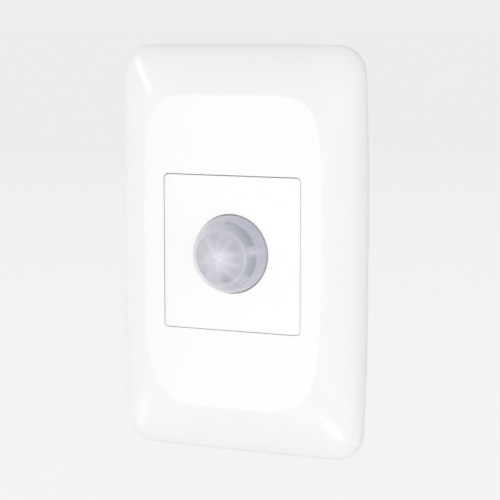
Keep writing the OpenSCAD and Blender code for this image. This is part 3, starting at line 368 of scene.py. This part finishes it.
class LensMilk(Material):
    """The lens's material, drawn in millimetres from the middle of the lens."""

    def __init__(self):
        super().__init__("lens_milk")
        split = self.node("ShaderNodeSeparateXYZ")
        self.put(self.place((1 / MM, 1 / MM, 1 / MM)), split.inputs[0])
        self.x, self.z = split.outputs["X"], split.outputs["Z"]
        self.r, self.turn = self.polar(self.z)
        self.ring_r, self.ring_turn = self.polar(self.total(self.z, INNER_DROP))

    def length(self, u, v):
        return self.math("SQRT", self.total(self.times(u, u), self.times(v, v)))

    def polar(self, z):
        """Distance from the middle, and angle from the right in degrees."""
        turn = self.math("ARCTAN2", z, self.x)
        return self.length(self.x, z), self.times(turn, 180 / math.pi)

    def near(self, value, place, width):
        """Full at one place, and fading out over a width on both sides of it."""
        off = self.math("ABSOLUTE", self.math("SUBTRACT", value, place))
        return self.less(self.math("DIVIDE", off, width))

    def spot(self, place_x, place_z, reach_x, reach_z, strength):
        """A soft spot that fades out at its reach."""
        across = self.math("DIVIDE", self.math("SUBTRACT", self.x, place_x), reach_x)
        up = self.math("DIVIDE", self.math("SUBTRACT", self.z, place_z), reach_z)
        return self.times(self.less(self.length(across, up)), strength)

    def within(self, r, low, high, soft):
        """Full between two radii, with soft edges."""
        start = self.span(r, low, low + soft, 0.0, 1.0)
        return self.times(start, self.span(r, high - soft, high, 1.0, 0.0))

    def draw(self, number, seed):
        """A share that differs from window to window."""
        made = self.node("ShaderNodeTexWhiteNoise", noise_dimensions="1D")
        self.put(self.total(number, seed), made.inputs["W"])
        return made.outputs["Value"]

    def steps(self, turn, step, shift=0.0):
        """How many steps round a place is from the first window, and its window's number."""
        turns = self.math("DIVIDE", self.math("SUBTRACT", turn, WINDOW_TURN + shift), step)
        return turns, self.math("FLOORED_MODULO", self.math("FLOOR", turns), 360 / step)

    def spokes(self, r, turn, step, width):
        """Lines between the windows of a ring."""
        off = self.math("PINGPONG", self.math("SUBTRACT", turn, WINDOW_TURN), step / 2)
        return self.less(self.math("DIVIDE", self.times(off, r, math.pi / 180), width))

    def outer_window_shade(self):
        """Painted shade in the windows: darkest on the right, most at their outer edge, with paler gaps
        between them.
        """
        _, number = self.steps(self.turn, OUTER_STEP)
        middle = self.math("MULTIPLY_ADD", number, OUTER_STEP, WINDOW_TURN + OUTER_STEP / 2)
        facing = self.math("COSINE", self.times(middle, math.pi / 180))
        upper = self.math("MAXIMUM", self.span(self.turn, *UPPER_FADE), self.span(self.r, *UPPER_BAND))
        return self.times(
            self.within(self.r, INNER_EDGE - OVERLAP, OUTER_EDGE, SOFT),
            self.less(self.spokes(self.r, self.turn, OUTER_STEP, OUTER_SPOKE)),
            self.span(facing, *OUTER_FACING),
            self.span(self.r, *OUTER_DEEPENING),
            upper,
            *[self.less(self.spot(*gap)) for gap in WINDOW_SHADE_GAPS],
        )

    def inner_window_shade(self):
        """Painted shade in each window: darkest at a place of its own, paling towards the spokes and to the
        left.
        """
        turns, number = self.steps(self.ring_turn, INNER_STEP)
        aside = self.math("ABSOLUTE", self.math("SUBTRACT", self.math("FRACT", turns), 0.5))
        darkest = self.span(self.draw(number, REACH_SEED), *INNER_DARKEST)
        return self.times(
            self.span(self.draw(number, WINDOW_SHADE_SEED), *INNER_SHADES),
            self.span(aside, *INNER_SIDES),
            self.near(self.ring_r, darkest, DARK_REACH),
            self.within(self.ring_r, HUB_EDGE, INNER_EDGE - OVERLAP, INNER_SOFT),
            self.span(self.x, *INNER_ACROSS),
        )

    def fine_steps(self):
        """The fine rings that the windows are cut in."""
        rings = self.math("DIVIDE", self.math("PINGPONG", self.r, RING_STEP), RING_STEP)
        return self.times(rings, self.within(self.r, FINE_START, OUTER_EDGE, FINE_SOFT))

    def painted_shade(self, fine):
        """Painted shade in the inner windows, on their ring's left edge and growing to the right, plus fine
        rings.
        """
        edge = self.near(self.ring_r, LEFT_EDGE_R, LEFT_EDGE_W)
        edge = self.times(edge, self.span(self.x, *LEFT_EDGE_ACROSS))
        base = self.total(self.inner_window_shade(), edge, self.span(self.x, *SHADE_ACROSS))
        return self.math("ADD", base, self.times(fine, FINE_SHARE), clamp=True)

    def right_skirt_shade(self):
        """Painted bluish shade on the right of the plain skirt."""
        skirt = self.within(self.r, OUTER_EDGE, SKIRT_SHADE_END, SOFT)
        return self.times(skirt, self.span(self.x, *SKIRT_SHADE_ACROSS), self.span(self.z, *SKIRT_SHADE_UP))

    def light(self):
        """Painted highlights on the line between the rings, the spokes and round the hub, and painted light
        on the left skirt.
        """
        _, number = self.steps(self.ring_turn, INNER_STEP, -INNER_STEP / 2)
        rays = self.times(
            self.spokes(self.ring_r, self.ring_turn, INNER_STEP, INNER_SPOKE),
            self.draw(number, RAY_SEED),
            self.near(self.ring_r, RAY_R, RAY_REACH),
            RAY_HIGHLIGHT,
        )
        highlight_mask = self.total(rays, *[self.spot(*spot) for spot in HIGHLIGHT_SPOTS])
        highlight_mask = self.times(highlight_mask, self.span(self.ring_r, INNER_EDGE - SOFT, INNER_EDGE, 1.0, 0.0))
        line = self.times(self.near(self.ring_r, INNER_EDGE, LINE_W), self.span(self.x, *LINE_ACROSS))
        line = self.total(line, self.spot(*GAP_HIGHLIGHT))
        side = self.total(self.times(self.x, math.cos(LIT_SKIRT_TURN)), self.times(self.z, math.sin(LIT_SKIRT_TURN)))
        skirt = self.within(self.ring_r, INNER_EDGE - OVERLAP, LIT_SKIRT_END, SOFT)
        skirt = self.times(skirt, self.span(side, *LIT_SKIRT_ACROSS))
        return self.math("MAXIMUM", self.math("MAXIMUM", line, highlight_mask), skirt, clamp=True)


def lens_milk():
    """Milky plastic: a plain skirt, five windows in an outer ring, ten in an inner one, and a hub, with
    painted shade and painted highlights.
    """
    g = LensMilk()
    fine = g.fine_steps()
    cloud = g.noise(g.place(), CLOUD_SCALE)
    # Painted shade in the inner windows, on their ring's left edge and growing to the right
    tone = g.blend(g.painted_shade(fine), shade(LENS_BASE), shade(LENS_SHADE))
    # Painted bluish shade on the right of the skirt
    tone = g.blend(g.right_skirt_shade(), tone, shade(LENS_SKIRT_SHADE))
    # Painted shade in the outer windows, darkest on the right
    tone = g.blend(g.outer_window_shade(), tone, shade(LENS_WINDOW_SHADE))
    # Painted highlights round the hub, along the spokes and the ring's line, and painted light on the left
    # of the skirt
    tone = g.blend(g.light(), tone, shade(LENS_HIGHLIGHT))
    tone = g.blend(g.span(cloud, *NARROW, 0.0, CLOUD_SHARE), tone, shade(LENS_CLOUD))
    g.paint("Base Color", tone)
    g.paint("Roughness", g.span(cloud, *MIDDLE, *LENS_ROUGH))
    g.paint("Subsurface Weight", SCATTER)
    g.paint("Subsurface Radius", SCATTER_R)
    g.paint("Subsurface Scale", SCATTER_SCALE)
    g.bump(fine, FINE_H)
    return g.material


# Materials by the record's slots
WHITE = plastic("white_plastic", (0.904, 0.904, 0.906), 0.14, cloud=0.004, grain=POLISHED, edge=0.0)
# Painted light: a lighter copy of the white plastic, so the face looks more brightly lit than the plate
LIT_FACE_WHITE = plastic("lit_face_white", (0.92, 0.92, 0.921), 0.15, cloud=0.004, grain=POLISHED, edge=0.0)
LENS = lens_milk()
ZINC = metal("zinc_steel", (0.62, 0.63, 0.64), 0.3, stretch=(1, 6, 1))
slots = {
    "white_plastic": WHITE,
    "lens_plastic": LENS,
    "frame_plastic": plastic("frame_plastic", (0.42, 0.43, 0.44), 0.42, 0.05, SATIN),
    "housing_plastic": plastic("housing_plastic", (0.68, 0.68, 0.655), 0.4, 0.03, SATIN),
    "zinc_steel": ZINC,
    "board": board_green(),
    "detector_steel": metal("detector_steel", (0.66, 0.65, 0.62), 0.28),
    "filter_window": plastic("filter_window", (0.012, 0.012, 0.016), 0.12, 0.1, edge=0.0),
    "sensing_ceramic": plastic("sensing_ceramic", (0.55, 0.45, 0.28), 0.5, 0.08),
    "lamp": plastic("lamp", (0.45, 0.01, 0.01), 0.15, 0.05),
    "black_plastic": plastic("black_plastic", (0.014, 0.014, 0.016), 0.42, 0.15, (2200.0, 0.00002)),
    "spacer_plastic": plastic("spacer_plastic", (0.72, 0.69, 0.58), 0.4, 0.04),
    "coil_copper": winding(),
    "soft_iron": metal("soft_iron", (0.42, 0.42, 0.43), 0.4),
    "contact_metal": metal("contact_metal", (0.62, 0.29, 0.14), 0.32),
    "relay_plastic": plastic("relay_plastic", (0.012, 0.05, 0.26), 0.25, 0.06),
    "film_yellow": plastic("film_yellow", (0.6, 0.34, 0.02), 0.3, 0.05),
    "sleeve_blue": plastic("sleeve_blue", (0.006, 0.01, 0.045), 0.22, 0.1),
    "varistor_blue": plastic("varistor_blue", (0.015, 0.1, 0.34), 0.2, 0.08),
    "fuse_brown": plastic("fuse_brown", (0.06, 0.024, 0.01), 0.35, 0.08),
    "block_plastic": plastic("block_plastic", (0.13, 0.15, 0.17), 0.4, 0.06, (2000.0, 0.00002)),
    "clamp_brass": metal("clamp_brass", (0.6, 0.42, 0.16), 0.3),
    "trimmer_plastic": plastic("trimmer_plastic", (0.015, 0.06, 0.28), 0.4, 0.06),
    "knob_plastic": plastic("knob_plastic", (0.72, 0.16, 0.012), 0.35, 0.05, (2200.0, 0.000015)),
    "switch_metal": metal("switch_metal", (0.58, 0.59, 0.6), 0.3, stretch=(6, 1, 1)),
}
for part in frame["record"]["subparts"]:
    obj = frame["nodes"][part["node"]]
    if not obj.material_slots:
        obj.data.materials.append(None)
    for holder in obj.material_slots:
        holder.material = slots[part["material_slot"]]

# Cover plate: one closed shell, from the window's wall over the field and the border to the rim and inside
PLATE_WALL, PLATE_CORNER, TOE = 2.0, 7.5, 0.25
SIDE_BOW, END_BOW, BOW_POWER = 1.4, 0.5, 3  # how far the sides and ends draw in at the corners
FIELD_W, FIELD_H = 55.8, 91.7
FIELD_TOP, FIELD_BOTTOM = 6.0, 4.5  # how square the field's corners are
RIM_H, BORDER_DROP, BORDER_SHARE, ROLL_H = 1.0, 2.0, 0.45, 2.9
WINDOW_W, WINDOW_H, WINDOW_R = 43.5, 45.8, 1.6
WINDOW_TRIM, WINDOW_SHIFT = 0.25, (-0.06, 0.03)  # the face shows in a closer gap than the solids keep
WINDOW_RING, FIELD_RINGS = 1.0, (1.4, 0.5, 0.2)  # distances of rings from the window and the field's edge
FIRST_STEPS, FIRST_PART, BORDER_PARTS = (0.012, 0.03, 0.06), 4, 40  # close rings first, then even ones
INSIDE_PARTS, LIP_PARTS = 20, 5
PRONG_X, PRONG_Z, PRONG_W, PRONG_T = 17.0, 32.0, 6.0, 2.0
PRONG_END, PRONG_R, PRONG_ROUND = -0.5, 0.25, 0.6
PRONG_TIP = ((1.2, 0.0), (0.3, 0.35), (0.0, 0.6))  # distance from the prong's end, and how much is trimmed


def sign(v):
    return (v > TINY) - (v < -TINY)


def rim(inset):
    """The plate's outline, whose sides bow out."""
    a, b = PLATE_W / 2 - inset, PLATE_H / 2 - inset
    return [
        (
            x - sign(x) * SIDE_BOW * (abs(z) / b) ** BOW_POWER,
            z - sign(z) * END_BOW * (abs(x) / a) ** BOW_POWER,
        )
        for x, z in outline(a, b, PLATE_CORNER - inset)
    ]


def field_point(p, inset):
    """The place on the field's edge that lies towards a place on the rim."""
    turn = math.atan2(p[1] / PLATE_H, p[0] / PLATE_W)
    power = FIELD_TOP if p[1] > 0 else FIELD_BOTTOM
    c, s = math.cos(turn), math.sin(turn)
    reach = (abs(c) ** power + abs(s) ** power) ** (-1 / power)
    return ((FIELD_W - inset) / 2 * reach * c, (FIELD_H - inset) / 2 * reach * s)


def bezier(k, p0, p1, p2, p3):
    return (1 - k) ** 3 * p0 + 3 * k * (1 - k) ** 2 * p1 + 3 * k * k * (1 - k) * p2 + k**3 * p3


def border(edge, inset, k, front):
    """One ring of the border, from the field at k = 0 to the rim at k = 1."""
    share = bezier(k, 0, BORDER_SHARE, 1, 1)
    y = bezier(k, front, front + BORDER_DROP, -RIM_H - ROLL_H, -RIM_H)
    ring = []
    for p in edge:
        q = field_point(p, inset)
        ring.append((q[0] + share * (p[0] - q[0]), y, q[1] + share * (p[1] - q[1])))
    return ring


def drawn_in(edge, by):
    """The field's outline, drawn in by a distance."""
    ring = []
    for p in edge:
        q = field_point(p, 0)
        k = 1 - by / math.hypot(*q)
        ring.append((q[0] * k, q[1] * k))
    return ring


def window(grow):
    more = grow - WINDOW_TRIM
    flat = outline(WINDOW_W / 2 + more, WINDOW_H / 2 + more, WINDOW_R + more)
    return [(x + WINDOW_SHIFT[0], z + WINDOW_SHIFT[1]) for x, z in flat]


def prong(x, z, back):
    """One snap prong, from inside the plate's front to its rounded end."""
    rings = []
    for y, trim in [(back - ROOT, 0.0)] + [(PRONG_END - short, trim) for short, trim in PRONG_TIP]:
        a, b = PRONG_W / 2 - trim, PRONG_T / 2 - trim
        flat = outline(a, b, min(PRONG_R, b * PRONG_ROUND), side=2, corner=3)
        rings.append([(x + u, y, z + v) for u, v in flat])
    return rings


def cover_plate():
    back = FRONT + PLATE_WALL
    outer, inner = rim(0), rim(PLATE_WALL)
    turns = quarter_turn(LIP_PARTS)
    shares = [*FIRST_STEPS, *(k / BORDER_PARTS for k in range(FIRST_PART, BORDER_PARTS + 1))]
    inside = [k / INSIDE_PARTS for k in range(INSIDE_PARTS, -1, -1)]
    rings = [at_depth(window(0), back)]
    rings += [at_depth(window(LIP * (1 - math.cos(t))), FRONT + LIP * (1 - math.sin(t))) for t in turns]
    rings += [at_depth(window(WINDOW_RING), FRONT)]
    rings += [at_depth(drawn_in(outer, by), FRONT) for by in FIELD_RINGS]
    rings += [border(outer, 0, k, FRONT) for k in shares]
    rings += [at_depth(rim(TOE * (1 - math.cos(t))), -TOE * (1 - math.sin(t))) for t in turns]
    rings += [at_depth(rim(PLATE_WALL - TOE), 0), at_depth(inner, -TOE)]
    rings += [border(inner, PLATE_WALL, k, back) for k in inside]
    shape = Shape().loft(rings, loop=True)
    for sx in (-1, 1):
        for sz in (-1, 1):
            shape.loft(prong(sx * PRONG_X, sz * PRONG_Z, back), caps=True)
    return shape.piece("plate_shell", "plate", "white_plastic", WHITE, "cover_plate")


# Sensor face: the flat square with softened edges, its skirt, the lens's collar, the bosses and the tongue
FACE_R, FACE_LEAST_R, CROWN, FACE_STEPS, FACE_LIP_PARTS = 1.2, 0.15, 0.3, 8, 4
SKIRT_BACK, SKIRT_T = -5.6, 1.4
LENS_HOLE, HOLE_LIP, HOLE_RING = 11.57, 0.12, 0.4  # closer to the lens than the solids keep
TONGUE_W, TONGUE_T, TONGUE_R, TONGUE_Z, TONGUE_END = 14.0, 1.2, 0.2, 19.1, -4.0
BOSS_X, BOSS_Z, BOSS_R, BOSS_HOLE, BOSS_SIDES = 15.85, -17.0, 2.35, 1.2, 40
COLLAR_IN, COLLAR_OUT, COLLAR_SIDES = 13.15, 14.35, 96


def tube(outer, inner, start, end, count, x=0.0, z=0.0):
    """Rings of a tube with a square wall, round a place."""
    wall = ((outer, start), (outer, end), (inner, end), (inner, start))
    return [[(x + u, y, z + v) for u, v in circle(r, count)] for r, y in wall]


def sensor_face():
    turns = quarter_turn(FACE_LIP_PARTS)

    def square(inset):
        r = max(FACE_R - inset, FACE_LEAST_R)
        return outline(FACE_W / 2 - inset, FACE_H / 2 - inset, r, side=14, corner=10)

    directions = [math.atan2(z, x) for x, z in square(0)]

    def hole(r):
        return [(r * math.cos(t), r * math.sin(t)) for t in directions]

    def crowned(points, sink=0.0):
        """The front surface, a little fuller in the middle."""
        return [
            (x, FRONT + sink - CROWN * (1 - (2 * x / FACE_W) ** 2) * (1 - (2 * z / FACE_H) ** 2), z)
            for x, z in points
        ]

    def between(k):
        """The outline that lies a share k of the way from the hole to the square's edge."""
        pairs = zip(hole(LENS_HOLE + HOLE_RING), square(LIP))
        return [(a + (c - a) * k, b + (d - b) * k) for (a, b), (c, d) in pairs]

    rings = [at_depth(hole(LENS_HOLE), FACE_BACK)]
    for t in turns:
        rings.append(crowned(hole(LENS_HOLE + HOLE_LIP * (1 - math.cos(t))), HOLE_LIP * (1 - math.sin(t))))
    rings += [crowned(between(k / FACE_STEPS)) for k in range(FACE_STEPS + 1)]
    rings += [crowned(square(LIP * (1 - math.sin(t))), LIP * (1 - math.cos(t))) for t in turns[1:]]
    skirt = ((0, SKIRT_BACK), (SKIRT_T, SKIRT_BACK), (SKIRT_T, FACE_BACK))
    rings += [at_depth(square(inset), y) for inset, y in skirt]
    shape = Shape().loft(rings, loop=True)
    root = FACE_BACK - ROOT
    shape.loft(tube(COLLAR_OUT, COLLAR_IN, root, COLLAR_END, COLLAR_SIDES), loop=True)
    for side in (-1, 1):
        boss = tube(BOSS_R, BOSS_HOLE, root, BOSS_END, BOSS_SIDES, side * BOSS_X, BOSS_Z)
        shape.loft(boss, loop=True)
    bar = outline(TONGUE_W / 2, TONGUE_T / 2, TONGUE_R, side=2, corner=3)
    shape.loft([[(x, y, z + TONGUE_Z) for x, z in bar] for y in (root, TONGUE_END)], caps=True)
    return shape.piece("face_square", "base", "white_plastic", LIT_FACE_WHITE, "sensor_face")


# Lens: a smooth dome, and inside it rings of windows, cut in fine steps between raised edges and spokes
LENS_R, LENS_WALL, TIP_R = 11.3, 0.8, 0.02  # the dome's rings end in a small one at its tip
DOME_SIDES, DOME_STEPS = 180, 44
RAISED, TOOTH = 0.012, 0.006  # shares of the inside's size
BANDS = ((8, None), (12, OUTER_STEP), (24, INNER_STEP), (4, None))  # a band's rings, and its spokes' step


def fresnel_lens():
    inner_r, inner_h = LENS_R - LENS_WALL, LENS_H - LENS_WALL
    edges = [0.0] + [math.acos(r / LENS_R) for r in (OUTER_EDGE, INNER_EDGE, HUB_EDGE)] + [math.pi / 2]

    def ring(r, y):
        return at_depth(circle(r, DOME_SIDES), y)

    def cut(t, inward=0.0, spoke_step=None):
        """One ring of the inside, pushed in by a share of its size, and raised on the spokes."""
        points = []
        for k, (c, s) in enumerate(circle(1.0, DOME_SIDES)):
            turn = 360 * k / DOME_SIDES - WINDOW_TURN
            on_spoke = spoke_step and turn % spoke_step < TINY
            share = 1 - (RAISED if on_spoke else inward)
            r = max(inner_r * math.cos(t) * share, TIP_R)
            points.append((r * c, FRONT - inner_h * math.sin(t) * share, r * s))
        return points

    rings = []
    for t in reversed(quarter_turn(DOME_STEPS)):
        rings.append(ring(max(LENS_R * math.cos(t), TIP_R), FRONT - LENS_H * math.sin(t)))
    flange = ((LENS_R, FACE_BACK), (FLANGE_R, FACE_BACK), (FLANGE_R, FLANGE_BACK), (inner_r, FLANGE_BACK))
    rings += [ring(r, y) for r, y in flange]
    rings.append(cut(0.0))
    for (parts, spoke_step), start, end in zip(BANDS, edges, edges[1:]):
        for j in range(1, parts):
            inward = TOOTH * (j % 2) if spoke_step else 0.0
            rings.append(cut(start + (end - start) * j / parts, inward, spoke_step))
        rings.append(cut(end, 0.0 if end == edges[-1] else RAISED))
    shape = Shape().loft(rings, caps=True)
    dome = shape.piece("lens_dome", "base", "lens_plastic", LENS, "fresnel_lens")
    dome.visible_diffuse = False  # milky plastic lets light through, so it hardly shades the face beside it
    return dome


# Fixing screws: slotted heads, plain necks and rolled threads
FRAME_FRONT, NECK_END, SCREW_SPACING = -2.0, 1.0, 83.3
SCREW_R, NECK_R, NECK_ROOT, SCREW_SIDES = 1.75, 1.45, 0.3, 28
PITCH, THREAD_H, THREAD_STEPS, THREAD_SHARP, RUN_OUT = 0.7, 0.3, 8, 2.6, 0.25
SLOT_W, SLOT_D, ARC_PARTS = 1.0, 1.1, 18
FOOT_TRIM, FOOT_H = 0.15, 0.2  # the rounded underside of the head
# How far in from the head's radius, and how far behind its top or its slot's floor
CROWN_EDGE, SLOT_STEP = ((0.0, 0.8), (0.25, 0.3), (0.8, 0.0)), ((0.02, 0.1), (0.02, 0.0), (0.0, -0.05))


def screw_ring(r, y, centre_z):
    return [(x, y, z + centre_z) for x, z in circle(r, SCREW_SIDES)]


def thread(centre_z):
    """Rings of the neck and the thread, which fades in and out."""
    rings = [screw_ring(NECK_R, y, centre_z) for y in (FRAME_FRONT - NECK_ROOT, NECK_END)]
    rows = int((SCREW_END - NECK_END) / PITCH * THREAD_STEPS)
    for j in range(1, rows + 1):
        y = NECK_END + (SCREW_END - NECK_END) * j / rows
        fade = min(1.0, (y - NECK_END) / PITCH, (SCREW_END - y) / PITCH + RUN_OUT)
        row = []
        for k, (c, s) in enumerate(circle(1.0, SCREW_SIDES)):
            wave = (y / PITCH - k / SCREW_SIDES) % 1.0
            tooth = max(0.0, 1 - abs(wave - 0.5) * THREAD_SHARP)
            r = SCREW_R - THREAD_H + THREAD_H * tooth * fade
            row.append((r * c, y, r * s + centre_z))
        rings.append(row)
    return rings


def fixing_screws():
    shape = Shape()
    floor = HEAD_TOP + SLOT_D
    foot = ((HEAD_R - FOOT_TRIM, FRAME_FRONT), (HEAD_R, FRAME_FRONT - FOOT_H), (HEAD_R, floor))
    levels = [(HEAD_R - trim, floor + behind) for trim, behind in SLOT_STEP]
    levels += [(HEAD_R - trim, HEAD_TOP + behind) for trim, behind in CROWN_EDGE]

    def half_disc(side, r, y, centre_z):
        """The part of the head on one side of its slot."""
        reach = math.acos(SLOT_W / 2 / r)
        arc = [-reach + 2 * reach * k / ARC_PARTS for k in range(ARC_PARTS + 1)]
        return [(side * r * math.cos(t), y, r * math.sin(t) + centre_z) for t in arc]

    for centre_z in (-SCREW_SPACING / 2, SCREW_SPACING / 2):
        shape.loft(thread(centre_z), caps=True)
        shape.loft([screw_ring(r, y, centre_z) for r, y in foot], caps=True)
        for side in (-1, 1):
            shape.loft([half_disc(side, r, y, centre_z) for r, y in levels], caps=True)
    return shape.piece("fixing_screw_pair", "base", "zinc_steel", ZINC, "fixing_screws")


cover_plate()
sensor_face()
fresnel_lens()
fixing_screws()

# Studio floor: pale and matt, with a glow that starts some way off and weakens far away, like a lit sweep
FLOOR_Z, FLOOR_R, FLOOR_SIDES = -0.9, 400.0, 96
FLOOR_COOL, FLOOR_WARM, FLOOR_GLOW = (0.915, 0.915, 0.92), (0.925, 0.925, 0.925), (1.0, 1.0, 1.0)
FLOOR_CLOUD, FLOOR_ROUGH = 0.4, (0.8, 0.9)
# Distances in metres, and the glow's strength at each
GLOW_START, GLOW_FADE = (1.0, 2.6, 0.0, 1.0), (2.6, 14.0, 0.245, 0.18)


def floor_material():
    g = Material("studio_floor")
    place = g.place()
    reach = g.node("ShaderNodeVectorMath", operation="LENGTH")
    g.put(place, reach.inputs[0])
    away = reach.outputs["Value"]
    cloud = g.noise(place, FLOOR_CLOUD)
    g.paint("Base Color", g.blend(g.span(cloud, *MIDDLE, 0.0, 1.0), shade(FLOOR_COOL), shade(FLOOR_WARM)))
    g.paint("Roughness", g.span(cloud, *MIDDLE, *FLOOR_ROUGH))
    g.paint("Emission Color", shade(FLOOR_GLOW))
    g.paint("Emission Strength", g.times(g.span(away, *GLOW_START), g.span(away, *GLOW_FADE)))
    return g.material


floor_mesh = bpy.data.meshes.new("studio_floor")
floor_points = [(x, y, FLOOR_Z) for x, y in circle(FLOOR_R, FLOOR_SIDES)]
floor_mesh.from_pydata(floor_points, [], [tuple(range(FLOOR_SIDES))])
floor_mesh.materials.append(floor_material())
studio_floor = bpy.data.objects.new("studio_floor", floor_mesh)
scene.collection.objects.link(studio_floor)

# Surround: even light, with more of it along the horizon and below, and more or less in each lobe above
LEVEL = 0.74
UP, DOWN = (0.0, 0.0, 1.0), (0.0, 0.0, -1.0)
# Cosines with a direction, and the light at each
HORIZON, GROUND, ABOVE = (0.06, 0.3, 0.115, 0.0), (0.0, 0.12, 0.0, 0.035), (0.03, 0.3, 0.0, 1.0)
LOBES = (
    ((0.0, 0.25, 1.0), (0.65, 1.0, 0.0, 0.04)),
    ((1.0, 0.2, 0.6), (0.78, 1.0, 0.0, -0.44)),
)


def surround():
    world = bpy.data.worlds.new("surround")
    world.use_nodes = True
    scene.world = world
    g = Graph(world.node_tree)
    way = g.node("ShaderNodeTexCoord").outputs["Generated"]

    def cosine(direction):
        dot = g.node("ShaderNodeVectorMath", operation="DOT_PRODUCT")
        g.put(Vector(direction).normalized(), dot.inputs[1])
        g.put(way, dot.inputs[0])
        return dot.outputs["Value"]

    above = g.span(cosine(UP), *ABOVE, smooth=True)
    light = g.total(
        g.span(g.math("ABSOLUTE", cosine(UP)), *HORIZON, smooth=True),
        LEVEL,
        g.span(cosine(DOWN), *GROUND, smooth=True),
        *[g.times(g.span(cosine(direction), *lobe, smooth=True), above) for direction, lobe in LOBES],
    )
    g.put(light, g.tree.nodes["Background"].inputs["Color"])


surround()

# Softboxes, which light the object and not the floor
unlit = bpy.data.collections.new("unlit")
unlit.objects.link(studio_floor)
unlit.collection_objects[0].light_linking.link_state = "EXCLUDE"
# Name, direction, distance and size in metres, power in watts, roll in degrees
SOFTBOXES = (
    ("front_wide", (0.0, -1.0, 0.12), 2.2, (2.4, 2.0), 3.0, 0.0),
    ("front_gloss", (-0.305, -0.945, -0.13), 1.4, (0.46, 0.8), 1.3, 0.0),
    ("front_low", (0.1, -0.7, -0.7), 1.2, (1.2, 0.6), 0.9, 0.0),
    ("key_right", (0.6, -0.78, -0.1), 2.0, (1.6, 1.6), 5.2, 0.0),
    ("strip_left_up", (-0.799, -0.422, 0.429), 1.24, (0.55, 0.17), 0.6, -28.6),
    ("spot_left_low", (-0.778, -0.329, -0.535), 1.26, (0.2, 0.4), 0.28, -45.8),
    ("strip_low", (0.165, -0.73, -0.665), 1.24, (0.25, 0.34), 0.55, 17.8),
)


def softbox(name, direction, distance, size, power, roll):
    data = bpy.data.lights.new(name, "AREA")
    data.shape = "RECTANGLE"
    data.size, data.size_y = size
    data.energy = power
    lamp = bpy.data.objects.new(name, data)
    lamp.location = Vector(direction).normalized() * distance
    aim = (-lamp.location).to_track_quat("-Z", "Y")
    lamp.rotation_euler = (aim @ Quaternion(UP, math.radians(roll))).to_euler()
    lamp.visible_camera = False
    lamp.light_linking.receiver_collection = unlit
    scene.collection.objects.link(lamp)


for box in SOFTBOXES:
    softbox(*box)

# Camera at the photograph's viewing angle: place in metres, lens and sensor in millimetres, turns in degrees
CAMERA_PLACE, CAMERA_LENS, SENSOR_W = (0.1995, -0.4619, 0.0650), 124.39, 36.0
CAMERA_DOWN, CAMERA_LEFT = 7.361, 23.167
camera_data = bpy.data.cameras.new("camera")
camera_data.sensor_width = SENSOR_W
camera_data.lens = CAMERA_LENS
camera = bpy.data.objects.new("camera", camera_data)
camera.location = CAMERA_PLACE
camera.rotation_euler = (math.radians(90 - CAMERA_DOWN), 0.0, math.radians(CAMERA_LEFT))
scene.collection.objects.link(camera)
scene.camera = camera
scene.view_settings.view_transform = "Standard"
